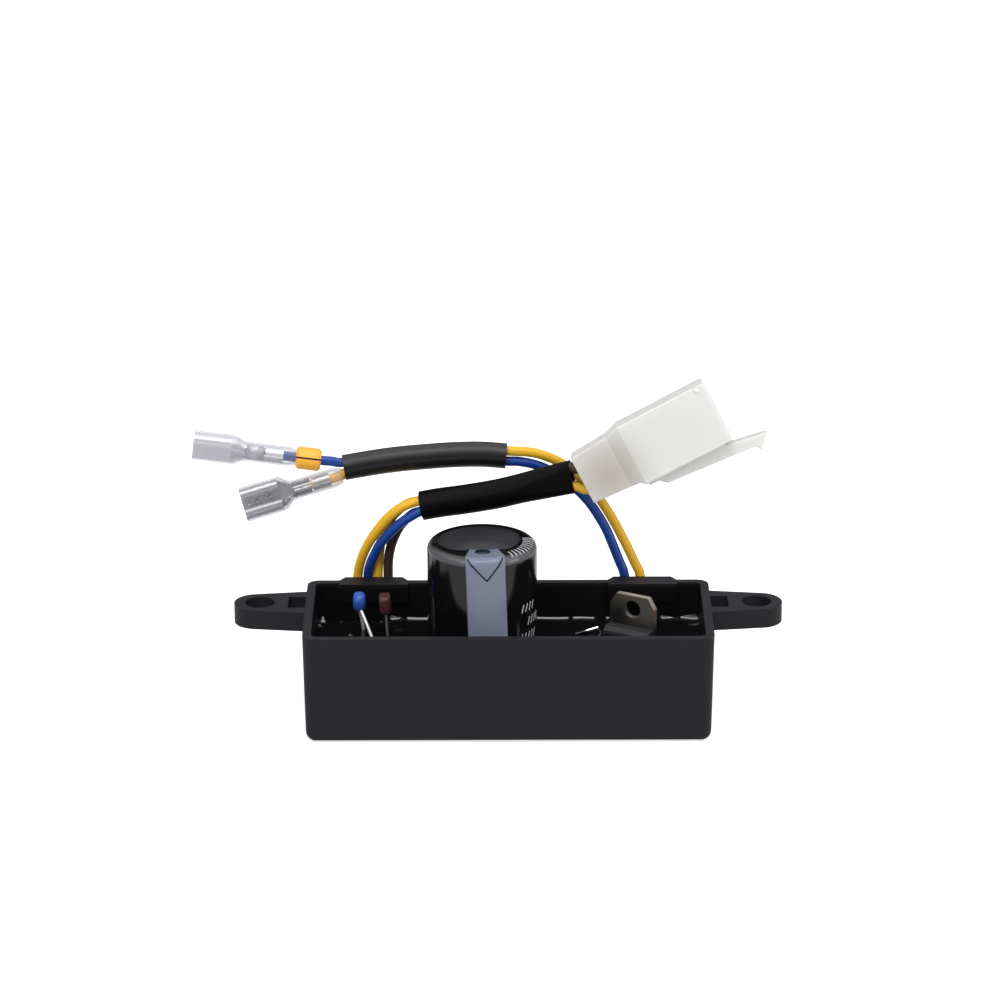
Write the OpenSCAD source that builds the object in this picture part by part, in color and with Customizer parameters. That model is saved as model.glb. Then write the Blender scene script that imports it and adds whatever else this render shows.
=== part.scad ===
// Automatic voltage regulator for a small petrol generator: a potted plastic box with two
// mounting ears, a plug lead with four wires and a pair of leads with push-on terminals.
// Millimetres, +X along the box, +Y to its rear, +Z up, origin in the middle of the underside.

/* [Housing] */
// Length of the box across its rim
housing_w = 81.6; // [78:0.2:96]
// Depth of the box across its rim
housing_d = 32.4; // [31:0.2:42]
// Height of the box
housing_h = 22.4; // [21:0.2:30]
// Thickness of the side walls
wall = 1.7; // [1.2:0.1:2.2]
// Thickness of the floor
floor_t = 1.8; // [1.2:0.1:2.6]
// Inward lean of each side between rim and floor
draft = 0.4; // [0.1:0.1:0.7]
// Radius of the upright corners at the rim
corner_r = 2.4; // [1.8:0.1:4]
// Radius of the corners inside the box
inner_r = 1.2; // [0.9:0.1:2]
// Height of the posts that carry the circuit board
post_h = 3.1; // [2:0.1:5]
// Diameter of those posts
post_d = 4.5; // [3:0.1:6]

/* [Mounting ears] */
// Distance between the two mounting holes
hole_spacing = 100; // [98:0.5:116]
// Diameter of a mounting hole
hole_d = 6; // [4:0.1:6.6]
// Distance of the ears behind the middle of the box
ear_back = 4.1; // [0:0.1:6]
// Thickness of an ear
ear_t = 4; // [2.5:0.1:6]
// Width of an ear where it meets the box
ear_root_w = 12; // [10:0.1:16]
// Radius of an ear's round end
ear_end_r = 4.6; // [4.2:0.1:6]
// Distance from the hole's centre to the tip of the ear
ear_reach = 5.2; // [4.8:0.1:8]
// Length of the window beside the box
window_l = 3.5; // [2:0.1:4]
// Width of the window beside the box
window_w = 5.9; // [3:0.1:6.5]

/* [Wire ducts] */
// Distance of each duct from the middle of the box
duct_x = 27.4; // [25:0.1:30]
// Width of a duct
duct_w = 11.7; // [11:0.1:14]
// Width of a duct where it meets the box
duct_root_w = 14; // [12:0.1:16]
// Thickness of the ledge between the box and the wires
ledge_t = 1.8; // [1.2:0.1:3]
// Width of the slot that the wires stand in
slot_w = 9.6; // [9.4:0.1:10]
// Depth of that slot
slot_d = 2.3; // [2.2:0.1:3]
// Thickness of the duct's rear wall
duct_back_t = 1.3; // [0.8:0.1:2]
// Drop of the duct's rear wall below the rim
duct_back_drop = 1.8; // [0.5:0.1:4]
// Thickness of the pad inside the rim at each duct
pad_t = 0.8; // [0.3:0.1:1.2]
// Height of that pad
pad_h = 4; // [2:0.1:5]

/* [Circuit board and potting] */
// Thickness of the circuit board
board_t = 1.6; // [1:0.1:2]
// Gap between the circuit board and the walls
board_gap = 0.5; // [0.2:0.1:1]
// Drop of the potting's surface below the rim
potting_drop = 8.1; // [7.6:0.1:8.4]
// Climb of the potting up the walls
meniscus = 1.1; // [0.3:0.1:1.5]

/* [Filter capacitor] */
// Diameter over the sleeve
cap_d = 22; // [18:0.1:23]
// Height over the sleeve
cap_h = 30.2; // [25:0.1:40]
// Place along the box
cap_x = -5.2; // [-7:0.1:0]
// Place behind the middle of the box
cap_y = 1; // [-1:0.1:1]
// Thickness of the shrink sleeve
cap_skin = 0.25; // [0.15:0.05:0.4]
// Width of the sleeve's lip on the top
cap_lip = 4; // [2:0.1:6]
// Radius of the can's shoulder
cap_shoulder = 1.3; // [0.8:0.1:2]
// Distance between the two pins
cap_pin_gap = 10; // [8:0.1:12]

/* [Transistor] */
// Width of the package
to_w = 10; // [9:0.1:11]
// Height of the moulded body
to_body_h = 9.2; // [8:0.1:10]
// Thickness of the moulded body in front of the tab
to_body_t = 3.1; // [2.5:0.1:3.5]
// Height of the metal tab over the board
to_tab_h = 15.7; // [15:0.1:17]
// Thickness of the metal tab
to_tab_t = 1.3; // [0.8:0.1:1.5]
// Diameter of the hole in the tab
to_hole_d = 3.6; // [3:0.1:4]
// Distance of that hole from the top of the tab
to_hole_drop = 2.9; // [2.6:0.1:3.2]

/* [Leads and plug] */
// Diameter of a wire over its insulation
wire_d = 2; // [1.8:0.05:2.05]
// Wall of the black sleeves
sleeve_t = 0.4; // [0.3:0.05:0.8]
// Length of the plug from its rear face to its mouth
plug_l = 30.6; // [27:0.2:36]
// Wall of the plug's hood
hood_t = 1.1; // [0.8:0.1:1.6]
// Thickness of the latch arm
arm_t = 1.4; // [1.1:0.1:1.8]
// Width of the latch arm
arm_w = 5.6; // [4:0.1:8]
// Width of a blade in the plug
blade_w = 2.8; // [2.2:0.1:3]
// Thickness of a blade in the plug
blade_t = 0.8; // [0.5:0.1:1]

/* [Push-on terminals] */
// Length from the cover's rear end to the mouth
spade_l = 21; // [19:0.1:24]
// Length of the rolled socket
socket_l = 7.8; // [6:0.1:8.4]
// Distance between the middles of the two rolls
roll_gap = 3.8; // [3:0.1:5]
// Outer radius of a roll
roll_r = 1.2; // [1.05:0.05:1.4]
// Thickness of the terminal's sheet
sheet_t = 0.35; // [0.25:0.05:0.45]
// Wall of the clear cover
cover_t = 0.35; // [0.25:0.05:0.6]
// Length of the marker ring
marker_l = 5.1; // [3:0.1:5.1]
// Diameter of the marker ring
marker_d = 4.6; // [3.6:0.1:4.6]

/* [Hidden] */

$fn = 48;
// Facets of the rounded shells
shell_fn = 32;
// Overlap that makes a cut or a join clean
over = 0.5;
// Clearance between a piece and the one it slides into
slip = 0.05;

// Levels of the board and of the potting
board_z = floor_t + post_h;
board_top = board_z + board_t;
potting_z = housing_h - potting_drop;
board_w = housing_w - 2 * (wall + draft + board_gap);
board_d = housing_d - 2 * (wall + draft + board_gap);
// Distance of the board's posts from its edges
post_inset = 3;
// Length of the leads under the board
lead_tail = 1.2;
lead_end = board_z - lead_tail;
lead_d = 0.7;

// Wire ducts: the slot behind the rear wall and the gate through that wall
rear_y = housing_d / 2;
slot_y = rear_y + ledge_t + slot_d / 2;
duct_y = rear_y + ledge_t + slot_d + duct_back_t;
bend_r = 3.5;
gate_mid = board_top + 5.1;
gate_low = gate_mid - 1.4;
gate_high = gate_mid + 3;
duct_floor_t = 1.4;

// Wires: radius, pitch in the slot and offset in the bundle
wire_r = wire_d / 2;
wire_pitch = 2.06;
bundle = wire_r + 0.06;
wire_sides = 8;
lead_sides = 8;
sleeve_sides = 16;

// Transistor: place, turn about the upright and tab corners
to_at = [25.1, 7.6, board_top];
to_turn = -29;
to_corner = [1.4, 2.3];
to_lead = [0.8, 0.5];
to_lead_pitch = 2.54;

// Small parts on the board: the diodes stand in a row at the left, the resistors at the right
diode_d = 2.7;
diode_l = 5.2;
small_resistor_d = 2.4;
small_resistor_l = 6.3;
power_resistor_d = 4;
power_resistor_l = 10;
lead_pitch = 10;
power_lead_pitch = 14;
// Room from the board's left edge and from the capacitor to the row of diodes, and from the front edge
diode_count = 4;
diode_room = [5.2, 3.8];
diode_front = 9.6;
diode_x = [diode_room[0] - board_w / 2, cap_x - cap_d / 2 - diode_room[1]];
diode_at = [for (k = [0:diode_count - 1])
    [mix(diode_x[0], diode_x[1], k / (diode_count - 1)), diode_front - board_d / 2]];
// Room from the capacitor and from the front edge to the small resistors
small_resistor_room = [5.7, 8.1];
small_resistor_pitch = 4;
small_resistor_at = [for (k = [0, 1]) [cap_x + cap_d / 2 + small_resistor_room[0] + k * small_resistor_pitch,
    small_resistor_room[1] - board_d / 2]];
// Room from the board's right edge to the power resistor's lead, and from the front edge
power_resistor_room = [2.4, 5.6];
power_resistor_at = [board_w / 2 - power_lead_pitch / 2 - power_resistor_room[0],
    power_resistor_room[1] - board_d / 2];
// The resistor on end, and where its long lead goes back into the potting
upright_resistor_at = [12.9, 6];
upright_resistor_loop = [18.8, 8.1];
// Rise of that lead over the potting at its two ends, and where its points lie between them
loop_rise = [0, 1];
loop_at = [0.12, 0.5, 0.88];
lead_bend = 0.8;
lead_stand = 0.2;

// Ceramic disc capacitor on splayed leads, edge on to the front, and its room from the board's left edge
disc_room = 8.1;
disc_at = [disc_room - board_w / 2, 8.2, 20.9];
disc_d = 4;
disc_t = 2.5;
disc_edge = 0.9;
disc_leads = beside(disc_at, [[[-0.1, 9.3], [0.8, 9.5]], [[0.3, 7], [3, 3.3]]]);
disc_lead_top = 19.6;

// Film capacitor, narrow side to the front, tipped a little, and its room from the same edge
film_room = 13.3;
film_at = [film_room - board_w / 2, 8.4, 20.4];
film_size = [2.5, 4.2, 3.7];
film_edge = 0.6;
film_lean = -6;
film_leads = beside(film_at, [[[0.2, 9.7], [0.3, 9.4]], [[0.2, 7.1], [0.6, 4.2]]]);
film_lead_top = 18.3;

// Line of the plug lead's sleeve, from its open end to the plug
plug_line = [[-17.5, 17.5, 38.1], [-13.7, 17.2, 38.9], [-9.7, 16.8, 39.6], [-5.6, 16.4, 40.4],
    [-1.6, 16, 41.3], [2.5, 15.5, 42.5], [7.5, 15, 43.9], [13.1, 14.5, 45.4]];
// Lean of the bundle's upright away from the vertical
plug_up = [0, 0.26, 0.97];
// Half sizes and corner radius inside the sleeve, at its open end and at the plug
sleeve_open = [2.6, 2.6, 2.59];
sleeve_plug = [2.98, 2.13, 1.1];
// Spread of the upper and lower wires at the plug
bundle_plug = 1.93;
// Turn of the bundle along its sleeve, and the point of the line from which it spreads instead
plug_twist = 180;
twist_end = 5;
// Plug: middle of its rear face, and its turn
plug_at = [15, 14.3, 45.1];
plug_turn = [-15, -27, 6];

// Line of the brush leads' sleeve, from the box to the terminals
brush_line = [[-0.3, 22.5, 47], [-5.6, 22.5, 47.4], [-11.7, 22.4, 47.3], [-16.8, 22.2, 47],
    [-21.9, 22, 46.6], [-27, 21.7, 46], [-33.3, 21.3, 45]];
brush_up = [0, 0, 1];
brush_r = 2.2;
brush_pair = wire_r + 0.1;
// Turn of the pair of wires about each other along the sleeve
brush_twist = 200;

// Routes of the free wires between the ducts and the sleeves
yellow_1_free = [[-30, 18.6, 25.9], [-28.7, 18, 29.2], [-27, 17.4, 32.2], [-25, 17, 35],
    [-22.9, 16.7, 37.1], [-20.8, 16.6, 38.5]];
blue_1_free = [[-28, 18, 25.5], [-27.1, 17.5, 27.7], [-26, 17, 30], [-24, 16.5, 32.6],
    [-21.9, 16.3, 34.7], [-19.8, 16.2, 36.2]];
yellow_2_free = [[-26.4, 20, 25.6], [-25.9, 19.9, 29.4], [-24.5, 19.7, 33.3], [-22.6, 19.4, 36.1],
    [-20.3, 19.1, 38]];
brown_free = [[-24.4, 19.4, 25.6], [-23.8, 19.3, 28.9], [-22.5, 19, 32.2], [-21, 18.7, 34.4],
    [-19.2, 18.4, 36.1]];
blue_2_free = [[22.7, 19.9, 25.3], [21.4, 20.6, 28.5], [20.1, 21.3, 31.5], [18.4, 21.9, 34.4],
    [16.6, 22.3, 37], [14.2, 22.5, 39.6], [11, 22.5, 42.3], [7, 22.5, 44.6], [3, 22.5, 45.7]];
yellow_3_free = [[26, 19.9, 24.6], [24.8, 20.6, 27.1], [23.4, 21.3, 29.8], [21.9, 21.9, 32.6],
    [20.3, 22.3, 35.3], [18.5, 22.6, 38], [16.2, 22.7, 40.8], [13.2, 22.7, 43.6], [9.8, 22.6, 46],
    [5.2, 22.5, 47.7]];
// Place of each wire in its duct's slot, from the middle of the slot
left_slots = [for (k = [-1.5, -0.5, 0.5, 1.5]) k * wire_pitch - 0.2];
right_slots = [-3.6, -0.4];

// Plug: outline of its rear body and of its hood
plug_rear_h = 10.2;
plug_neck_h = 11.4;
plug_rear_w = 10;
hood_h = 13;
hood_w = 12.4;
plug_step = [8.3, 11.2];
hood_floor = 13;
cavity_size = [3.6, 4.2];
cavity_pitch = [4.6, 4.8];
// Latch arm: reach past the mouth, slant away from the hood, start and end of the web that carries it
arm_reach = 6.9;
arm_slant = 4;
arm_root = [13.5, plug_l - 2.4];
arm_gap = 0.7;
// Barb: its length and its depth under the arm, and the share of its length that slants to the tip
barb = [3.4, 1.1];
barb_slant = 0.8;
rib = [11.6, 14.1, 0.9];
// Blades: their ends inside the plug, counted from the rear face
crimp_end = 6;
blade_end = 21.5;
stem = [3, 2.4];

// Push-on terminals: where each cover starts, and its turn
upper_at = [-43, 21.5, 47.2];
upper_turn = [60, -7.5, 180];
lower_at = [-33.7, 20.8, 43.5];
lower_turn = [-70, 14, 190];
// Ends of the insulation crimp and of the wire crimp, counted from the cover's rear end
grip_from = 2.6;
grip_to = 6.3;
seam = 0.25;
wire_crimp = [6.6, 10.2];
grip_r = wire_r + 0.4;
strip_w = 1.5;
crimp_top = wire_r * 0.8;
hump_r = strip_w * 0.3;
lip_turn = 187;
socket_from = spade_l - socket_l;
spade_low = -grip_r;
roll_z = spade_low + roll_r;
// Clear cover: station, half width and half height inside, from rear end to mouth
cover_neck = grip_r + 0.25;
cover_half = roll_gap / 2 + roll_r + 0.12;
cover_bore = [[0, wire_r + 0.3, wire_r + 0.3], [2, cover_neck, cover_neck],
    [wire_crimp[1] + 0.2, cover_neck, cover_neck], [socket_from - 0.3, cover_half, cover_neck],
    [spade_l, cover_half, cover_neck]];

// Vector helpers
function unit(v) = v / norm(v);
function mix(a, b, f) = a + (b - a) * f;
// Ends of leads whose x counts from the part that they carry
function beside(at, leads) = [for (l = leads) [for (q = l) [at.x + q.x, q.y]]];
function turn_x(v, a) = [v.x, v.y * cos(a) - v.z * sin(a), v.y * sin(a) + v.z * cos(a)];
function turn_y(v, a) = [v.x * cos(a) + v.z * sin(a), v.y, v.z * cos(a) - v.x * sin(a)];
function turn_z(v, a) = [v.x * cos(a) - v.y * sin(a), v.x * sin(a) + v.y * cos(a), v.z];
// A point of a turned and placed piece, in the frame of the whole part
function placed(v, at, turn) = at + turn_z(turn_y(turn_x(v, turn.x), turn.y), turn.z);
// Direction of a route at one of its points
function heading(p, i) = unit(p[min(i + 1, len(p) - 1)] - p[max(i - 1, 0)]);
function square_to(n, t) = unit(n - (n * t) * t);
// Sideways direction at each point of a route, carried along without twist
function normals(p, first) = [for (i = 0, n = square_to(first, heading(p, 0)); i < len(p);
    i = i + 1, n = i < len(p) ? square_to(n, heading(p, i)) : n) n];
// Outline of a rounded rectangle: half sizes a and b, corner radius r
function rounded(a, b, r, steps = 5) = [for (c = [0:3], s = [0:steps - 1])
    let (t = 90 * c + 90 * s / (steps - 1), x = (c == 0 || c == 3) ? 1 : -1, y = c < 2 ? 1 : -1)
    [x * (a - r) + r * cos(t), y * (b - r) + r * sin(t)]];
function circle_of(r, sides) = [for (k = [0:sides - 1]) r * [cos(360 * k / sides), sin(360 * k / sides)]];
// An outline set square to a route at point i
function ring(p, n, i, outline) = [for (q = outline) p[i] + q.x * n[i] + q.y * cross(heading(p, i), n[i])];
function tube_rings(p, r, sides, first) = let (n = normals(p, first))
    [for (i = [0:len(p) - 1]) ring(p, n, i, circle_of(r, sides))];
function arc(at, r, from, to, steps) = [for (i = [0:steps])
    at + r * [cos(mix(from, to, i / steps)), sin(mix(from, to, i / steps))]];

// Solid skinned over a row of rings
module skin(rings) {
    n = len(rings[0]);
    m = len(rings);
    sides = [for (i = [0:m - 2], k = [0:n - 1])
        [i * n + k, (i + 1) * n + k, (i + 1) * n + (k + 1) % n, i * n + (k + 1) % n]];
    polyhedron([for (r = rings) each r],
        concat([[for (k = [0:n - 1]) k]], sides, [[for (k = [n - 1:-1:0]) (m - 1) * n + k]]), 6);
}

// Hollow skinned between two rows of rings, open at both ends
module pipe_skin(outer, inner) {
    n = len(outer[0]);
    m = len(outer);
    far = m * n;
    walls = [for (i = [0:m - 2], k = [0:n - 1]) let (a = i * n + k, b = i * n + (k + 1) % n)
        each [[a, a + n, b + n, b], [far + b, far + b + n, far + a + n, far + a]]];
    ends = [for (k = [0:n - 1]) let (j = (k + 1) % n, z = (m - 1) * n)
        each [[k, j, far + j, far + k], [z + j, z + k, far + z + k, far + z + j]]];
    polyhedron(concat([for (r = outer) each r], [for (r = inner) each r]), concat(walls, ends), 6);
}

module tube(p, r, sides, first = [1, 0, 0]) {
    skin(tube_rings(p, r, sides, first));
}

// Housing
// A corner of the box: a post that leans with the draft and is round at the bottom
module outer_post() {
    low = corner_r - draft;
    rotate_extrude($fn = shell_fn)
        polygon(concat([[0, housing_h], [0, 0]], arc([0, low], low, -90, 0, 6), [[corner_r, housing_h]]));
}

module at_corners(w, d) {
    for (x = [-1, 1], y = [-1, 1])
        translate([x * w / 2, y * d / 2, 0])
            children();
}

module outer_shell() {
    hull()
        at_corners(housing_w - 2 * corner_r, housing_d - 2 * corner_r)
            outer_post();
}

// Inward lean of a wall inside the box at a height, none at the rim
function cavity_lean(z) = draft * (housing_h - z) / (housing_h - floor_t);

// The hollow of the box up to a height
module cavity(top) {
    hull()
        at_corners(housing_w - 2 * (wall + inner_r), housing_d - 2 * (wall + inner_r))
            translate([0, 0, floor_t])
                cylinder(h = top - floor_t, r1 = inner_r - draft, r2 = inner_r - cavity_lean(top),
                    $fn = shell_fn);
}

module ear_outline() {
    tip = hole_spacing / 2 + ear_reach - ear_end_r;
    hull() {
        translate([tip, 0])
            circle(ear_end_r, $fn = shell_fn);
        translate([housing_w / 2 - wall, -ear_root_w / 2])
            square([wall / 2, ear_root_w]);
    }
}

module ear() {
    translate([0, ear_back, housing_h - ear_t])
        difference() {
            linear_extrude(ear_t)
                ear_outline();
            translate([hole_spacing / 2, 0, -over])
                cylinder(h = ear_t + 2 * over, d = hole_d);
            translate([housing_w / 2, -window_w / 2, -over])
                cube([window_l, window_w, ear_t + 2 * over]);
        }
}

// Plan of a duct: a flared root at the wall and straight sides behind it
module duct_plan() {
    polygon([[-duct_root_w / 2, rear_y - wall / 2], [duct_root_w / 2, rear_y - wall / 2],
        [duct_root_w / 2, rear_y], [duct_w / 2, rear_y + ledge_t], [duct_w / 2, duct_y],
        [-duct_w / 2, duct_y], [-duct_w / 2, rear_y + ledge_t], [-duct_root_w / 2, rear_y]]);
}

// Side of a duct: a sloped underside and a rear wall lower than the rim
module duct_side() {
    low = gate_low - duct_floor_t;
    back_top = housing_h - duct_back_drop;
    root = low - (duct_y - rear_y);
    polygon([[rear_y - wall / 2, root], [rear_y - draft, root], [duct_y, low], [duct_y, back_top],
        [rear_y + ledge_t, back_top], [rear_y + ledge_t, housing_h], [rear_y - wall / 2, housing_h]]);
}

module duct_body() {
    intersection() {
        linear_extrude(housing_h)
            duct_plan();
        rotate([90, 0, 90])
            linear_extrude(duct_root_w, center = true)
                duct_side();
    }
    translate([-duct_root_w / 2, rear_y - wall - pad_t, housing_h - pad_h])
        cube([duct_root_w, pad_t + wall / 2, pad_h]);
}

// Gate through the rear wall and slot behind it, up to a height
module wire_way(top) {
    translate([-slot_w / 2, rear_y - wall - draft - over, gate_low])
        cube([slot_w, slot_y + slot_d / 2 - (rear_y - wall - draft - over), gate_high - gate_low]);
    translate([-slot_w / 2, slot_y - slot_d / 2, gate_low])
        cube([slot_w, slot_d, top - gate_low]);
}

module both_ducts() {
    for (side = [-1, 1])
        translate([side * duct_x, 0, 0])
            children();
}

module board_posts(top) {
    at_corners(board_w - 2 * post_inset, board_d - 2 * post_inset)
        translate([0, 0, floor_t - over])
            cylinder(h = top - floor_t + over, d = post_d);
}

module housing() {
    color("#26262a")
        difference() {
            union() {
                difference() {
                    union() {
                        outer_shell();
                        ear();
                        mirror([1, 0, 0])
                            ear();
                    }
                    cavity(housing_h + over);
                }
                both_ducts()
                    duct_body();
                board_posts(board_z);
            }
            both_ducts()
                wire_way(housing_h + over);
        }
}

// Potting compound
// The open space over the potting, with sides that flare to its climb up the walls
module potting_pan() {
    w = housing_w - 2 * (wall + cavity_lean(potting_z));
    d = housing_d - 2 * (wall + cavity_lean(potting_z));
    spread = meniscus + over;
    hull()
        at_corners(w - 2 * (meniscus + inner_r), d - 2 * (meniscus + inner_r))
            translate([0, 0, potting_z])
                cylinder(h = spread, r1 = inner_r, r2 = inner_r + spread, $fn = shell_fn);
}

module potting() {
    color("#141416")
        difference() {
            union() {
                difference() {
                    cavity(potting_z + meniscus);
                    potting_pan();
                }
                both_ducts()
                    wire_way(potting_z);
            }
            board_plate();
            board_posts(board_z);
            translate([cap_x, cap_y, board_z])
                cylinder(h = potting_z, d = cap_d);
            capacitor_pins();
            transistor_body();
            transistor_tab();
            transistor_leads();
            blue_capacitor_leads();
            film_capacitor_leads();
            rectifier_diodes();
            diode_leads();
            resistors();
            resistor_leads();
            left_wire_starts();
            right_wire_starts();
        }
}

// Circuit board
module board_plate() {
    translate([-board_w / 2, -board_d / 2, board_z])
        cube([board_w, board_d, board_t]);
}

module circuit_board() {
    color("#8a6a35")
        difference() {
            board_plate();
            capacitor_pins();
            transistor_leads();
            blue_capacitor_leads();
            film_capacitor_leads();
            diode_leads();
            resistor_leads();
        }
}

// Filter capacitor
// Half section of a cylinder with a rounded shoulder
module shouldered(r, h, shoulder) {
    polygon(concat([[0, 0], [r, 0]], arc([r - shoulder, h - shoulder], shoulder, 0, 90, 6), [[0, h]]));
}

can_h = cap_h - 2 * cap_skin;
can_r = cap_d / 2 - cap_skin;
bung_r = can_r - 1.6;
bung_h = 2.4;

module capacitor_can() {
    color("#b9bcc0")
        translate([cap_x, cap_y, board_top + cap_skin])
            rotate_extrude()
                difference() {
                    shouldered(can_r, can_h, cap_shoulder);
                    translate([-over, -over])
                        square([bung_r + over, bung_h + over]);
                }
}

module capacitor_sleeve() {
    color("#1a1a1d")
        translate([cap_x, cap_y, board_top])
            rotate_extrude()
                difference() {
                    shouldered(cap_d / 2, cap_h, cap_shoulder + cap_skin);
                    translate([0, cap_skin])
                        shouldered(can_r, can_h, cap_shoulder);
                    translate([-over, -over])
                        square([bung_r + over, cap_skin + 2 * over]);
                    translate([-over, cap_h - cap_skin - over])
                        square([cap_d / 2 - cap_lip + over, cap_skin + 2 * over]);
                }
}

module capacitor_disc() {
    color("#2c2b30")
        translate([cap_x, cap_y, board_top + cap_h - cap_skin])
            cylinder(h = cap_skin / 2, r = cap_d / 2 - cap_lip);
}

module capacitor_bung() {
    color("#2a2320")
        translate([cap_x, cap_y, board_top])
            difference() {
                cylinder(h = bung_h + cap_skin, r = bung_r);
                cap_pin_slots(bung_h);
            }
}

cap_pin = [0.8, 1.5];

module cap_pin_slots(h) {
    for (side = [-1, 1])
        translate([side * cap_pin_gap / 2 - cap_pin.x / 2, -cap_pin.y / 2, -board_top])
            cube([cap_pin.x, cap_pin.y, board_top + h]);
}

module capacitor_pins() {
    color("#c9ccd0")
        translate([cap_x, cap_y, board_top])
            for (side = [-1, 1])
                translate([side * cap_pin_gap / 2 - cap_pin.x / 2, -cap_pin.y / 2, lead_end - board_top])
                    cube([cap_pin.x, cap_pin.y, board_top - lead_end + bung_h]);
}

// Transistor
module on_transistor() {
    translate(to_at)
        rotate([0, 0, to_turn])
            children();
}

module transistor_tab() {
    color("#a59d95")
        on_transistor()
            translate([0, to_tab_t, 0])
                rotate([90, 0, 0])
                    linear_extrude(to_tab_t)
                        difference() {
                            polygon([[-to_w / 2, 0], [to_w / 2, 0], [to_w / 2, to_tab_h - to_corner.y],
                                [to_w / 2 - to_corner.x, to_tab_h], [-to_w / 2 + to_corner.x, to_tab_h],
                                [-to_w / 2, to_tab_h - to_corner.y]]);
                            translate([0, to_tab_h - to_hole_drop])
                                circle(d = to_hole_d);
                        }
}

module transistor_body() {
    bevel = to_body_t / 4;
    color("#2b2b2e")
        on_transistor()
            rotate([90, 0, 90])
                linear_extrude(to_w, center = true)
                    polygon([[0, 0], [0, to_body_h], [-to_body_t + bevel, to_body_h],
                        [-to_body_t, to_body_h - bevel],
                        [-to_body_t, 0]]);
}

module transistor_leads() {
    color("#c9ccd0")
        on_transistor()
            for (k = [-1, 0, 1])
                translate([k * to_lead_pitch - to_lead.x / 2, -(to_body_t + to_lead.y) / 2,
                    lead_end - board_top])
                    cube([to_lead.x, to_lead.y, board_top - lead_end]);
}

// Small parts
module splayed_leads(leads, top) {
    for (lead = leads)
        tube([[lead[0].x, lead[0].y, top], [lead[1].x, lead[1].y, potting_z - lead_bend],
            [lead[1].x, lead[1].y, board_top], [lead[1].x, lead[1].y, lead_end]], lead_d / 2, lead_sides);
}

module disc_body() {
    translate(disc_at)
        rotate([0, 90, 0])
            rotate_extrude()
                polygon(concat([[0, -disc_t / 2]],
                    arc([disc_d / 2 - disc_edge, disc_edge - disc_t / 2], disc_edge, -90, 0, 4),
                    arc([disc_d / 2 - disc_edge, disc_t / 2 - disc_edge], disc_edge, 0, 90, 4),
                    [[0, disc_t / 2]]));
}

module blue_capacitor() {
    color("#3f86d8")
        difference() {
            disc_body();
            splayed_leads(disc_leads, disc_lead_top);
        }
}

module blue_capacitor_leads() {
    color("#c9ccd0")
        splayed_leads(disc_leads, disc_lead_top);
}

module film_capacitor() {
    inner = film_size - 2 * film_edge * [1, 1, 1];
    color("#7a3036")
        difference() {
            translate(film_at)
                rotate([0, film_lean, 0])
                    hull()
                        for (z = [-1, 1])
                            at_corners(inner.x, inner.y)
                                translate([0, 0, z * inner.z / 2])
                                    sphere(film_edge, $fn = 16);
            splayed_leads(film_leads, film_lead_top);
        }
}

module film_capacitor_leads() {
    color("#5a4a44")
        splayed_leads(film_leads, film_lead_top);
}

// A round body lying along Y on the board
module lying_body(at, d, l) {
    translate([at.x, at.y - l / 2, board_top + lead_stand + d / 2])
        rotate([-90, 0, 0])
            cylinder(h = l, d = d);
}

// The two leads of a lying body, bent down through the board
module lying_leads(at, d, l, pitch) {
    z = board_top + lead_stand + d / 2;
    for (side = [-1, 1])
        tube([[at.x, at.y + side * l / 2, z], [at.x, at.y + side * (pitch / 2 - lead_bend), z],
            [at.x, at.y + side * pitch / 2, z - lead_bend], [at.x, at.y + side * pitch / 2, lead_end]],
            lead_d / 2, lead_sides);
}

module rectifier_diodes() {
    color("#2b2b2e")
        for (at = diode_at)
            lying_body(at, diode_d, diode_l);
}

module diode_leads() {
    color("#c9ccd0")
        for (at = diode_at)
            lying_leads(at, diode_d, diode_l, lead_pitch);
}

module turned_about(at) {
    translate([at.x, at.y, 0])
        rotate([0, 0, 90])
            children();
}

module resistors() {
    color("#c8b48a") {
        for (at = small_resistor_at)
            lying_body(at, small_resistor_d, small_resistor_l);
        turned_about(power_resistor_at)
            lying_body([0, 0], power_resistor_d, power_resistor_l);
        translate([upright_resistor_at.x, upright_resistor_at.y, board_top])
            cylinder(h = small_resistor_l, d = small_resistor_d);
    }
}

module resistor_leads() {
    a = upright_resistor_at;
    b = upright_resistor_loop;
    color("#c9ccd0") {
        for (at = small_resistor_at)
            lying_leads(at, small_resistor_d, small_resistor_l, lead_pitch);
        turned_about(power_resistor_at)
            lying_leads([0, 0], power_resistor_d, power_resistor_l, power_lead_pitch);
        tube(concat([[a.x, a.y, board_top + small_resistor_l], [a.x, a.y, potting_z - lead_bend]],
            [for (f = loop_at) concat(mix(a, b, f), potting_z + mix(loop_rise[0], loop_rise[1], f))],
            [[b.x, b.y, potting_z], [b.x, b.y, lead_end]]), lead_d / 2, lead_sides);
        tube([[a.x, a.y, board_top], [a.x, a.y, lead_end]], lead_d / 2, lead_sides);
    }
}

// Wires
// The start of a wire: up from the board, through the gate and up the slot
function wire_start(x) = concat([[x, slot_y - 2 * bend_r, board_top]],
    [for (q = arc([slot_y - bend_r, gate_mid - bend_r], bend_r, 180, 90, 2)) [x, q.x, q.y]],
    [for (q = arc([slot_y - bend_r, gate_mid + bend_r], bend_r, -60, 0, 2)) [x, q.x, q.y]],
    [[x, slot_y, mix(potting_z, housing_h, 0.5)], [x, slot_y, housing_h]]);

module left_wire_starts() {
    for (s = left_slots)
        tube(wire_start(s - duct_x), wire_r, wire_sides);
}

module right_wire_starts() {
    for (s = right_slots)
        tube(wire_start(s + duct_x), wire_r, wire_sides);
}

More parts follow.
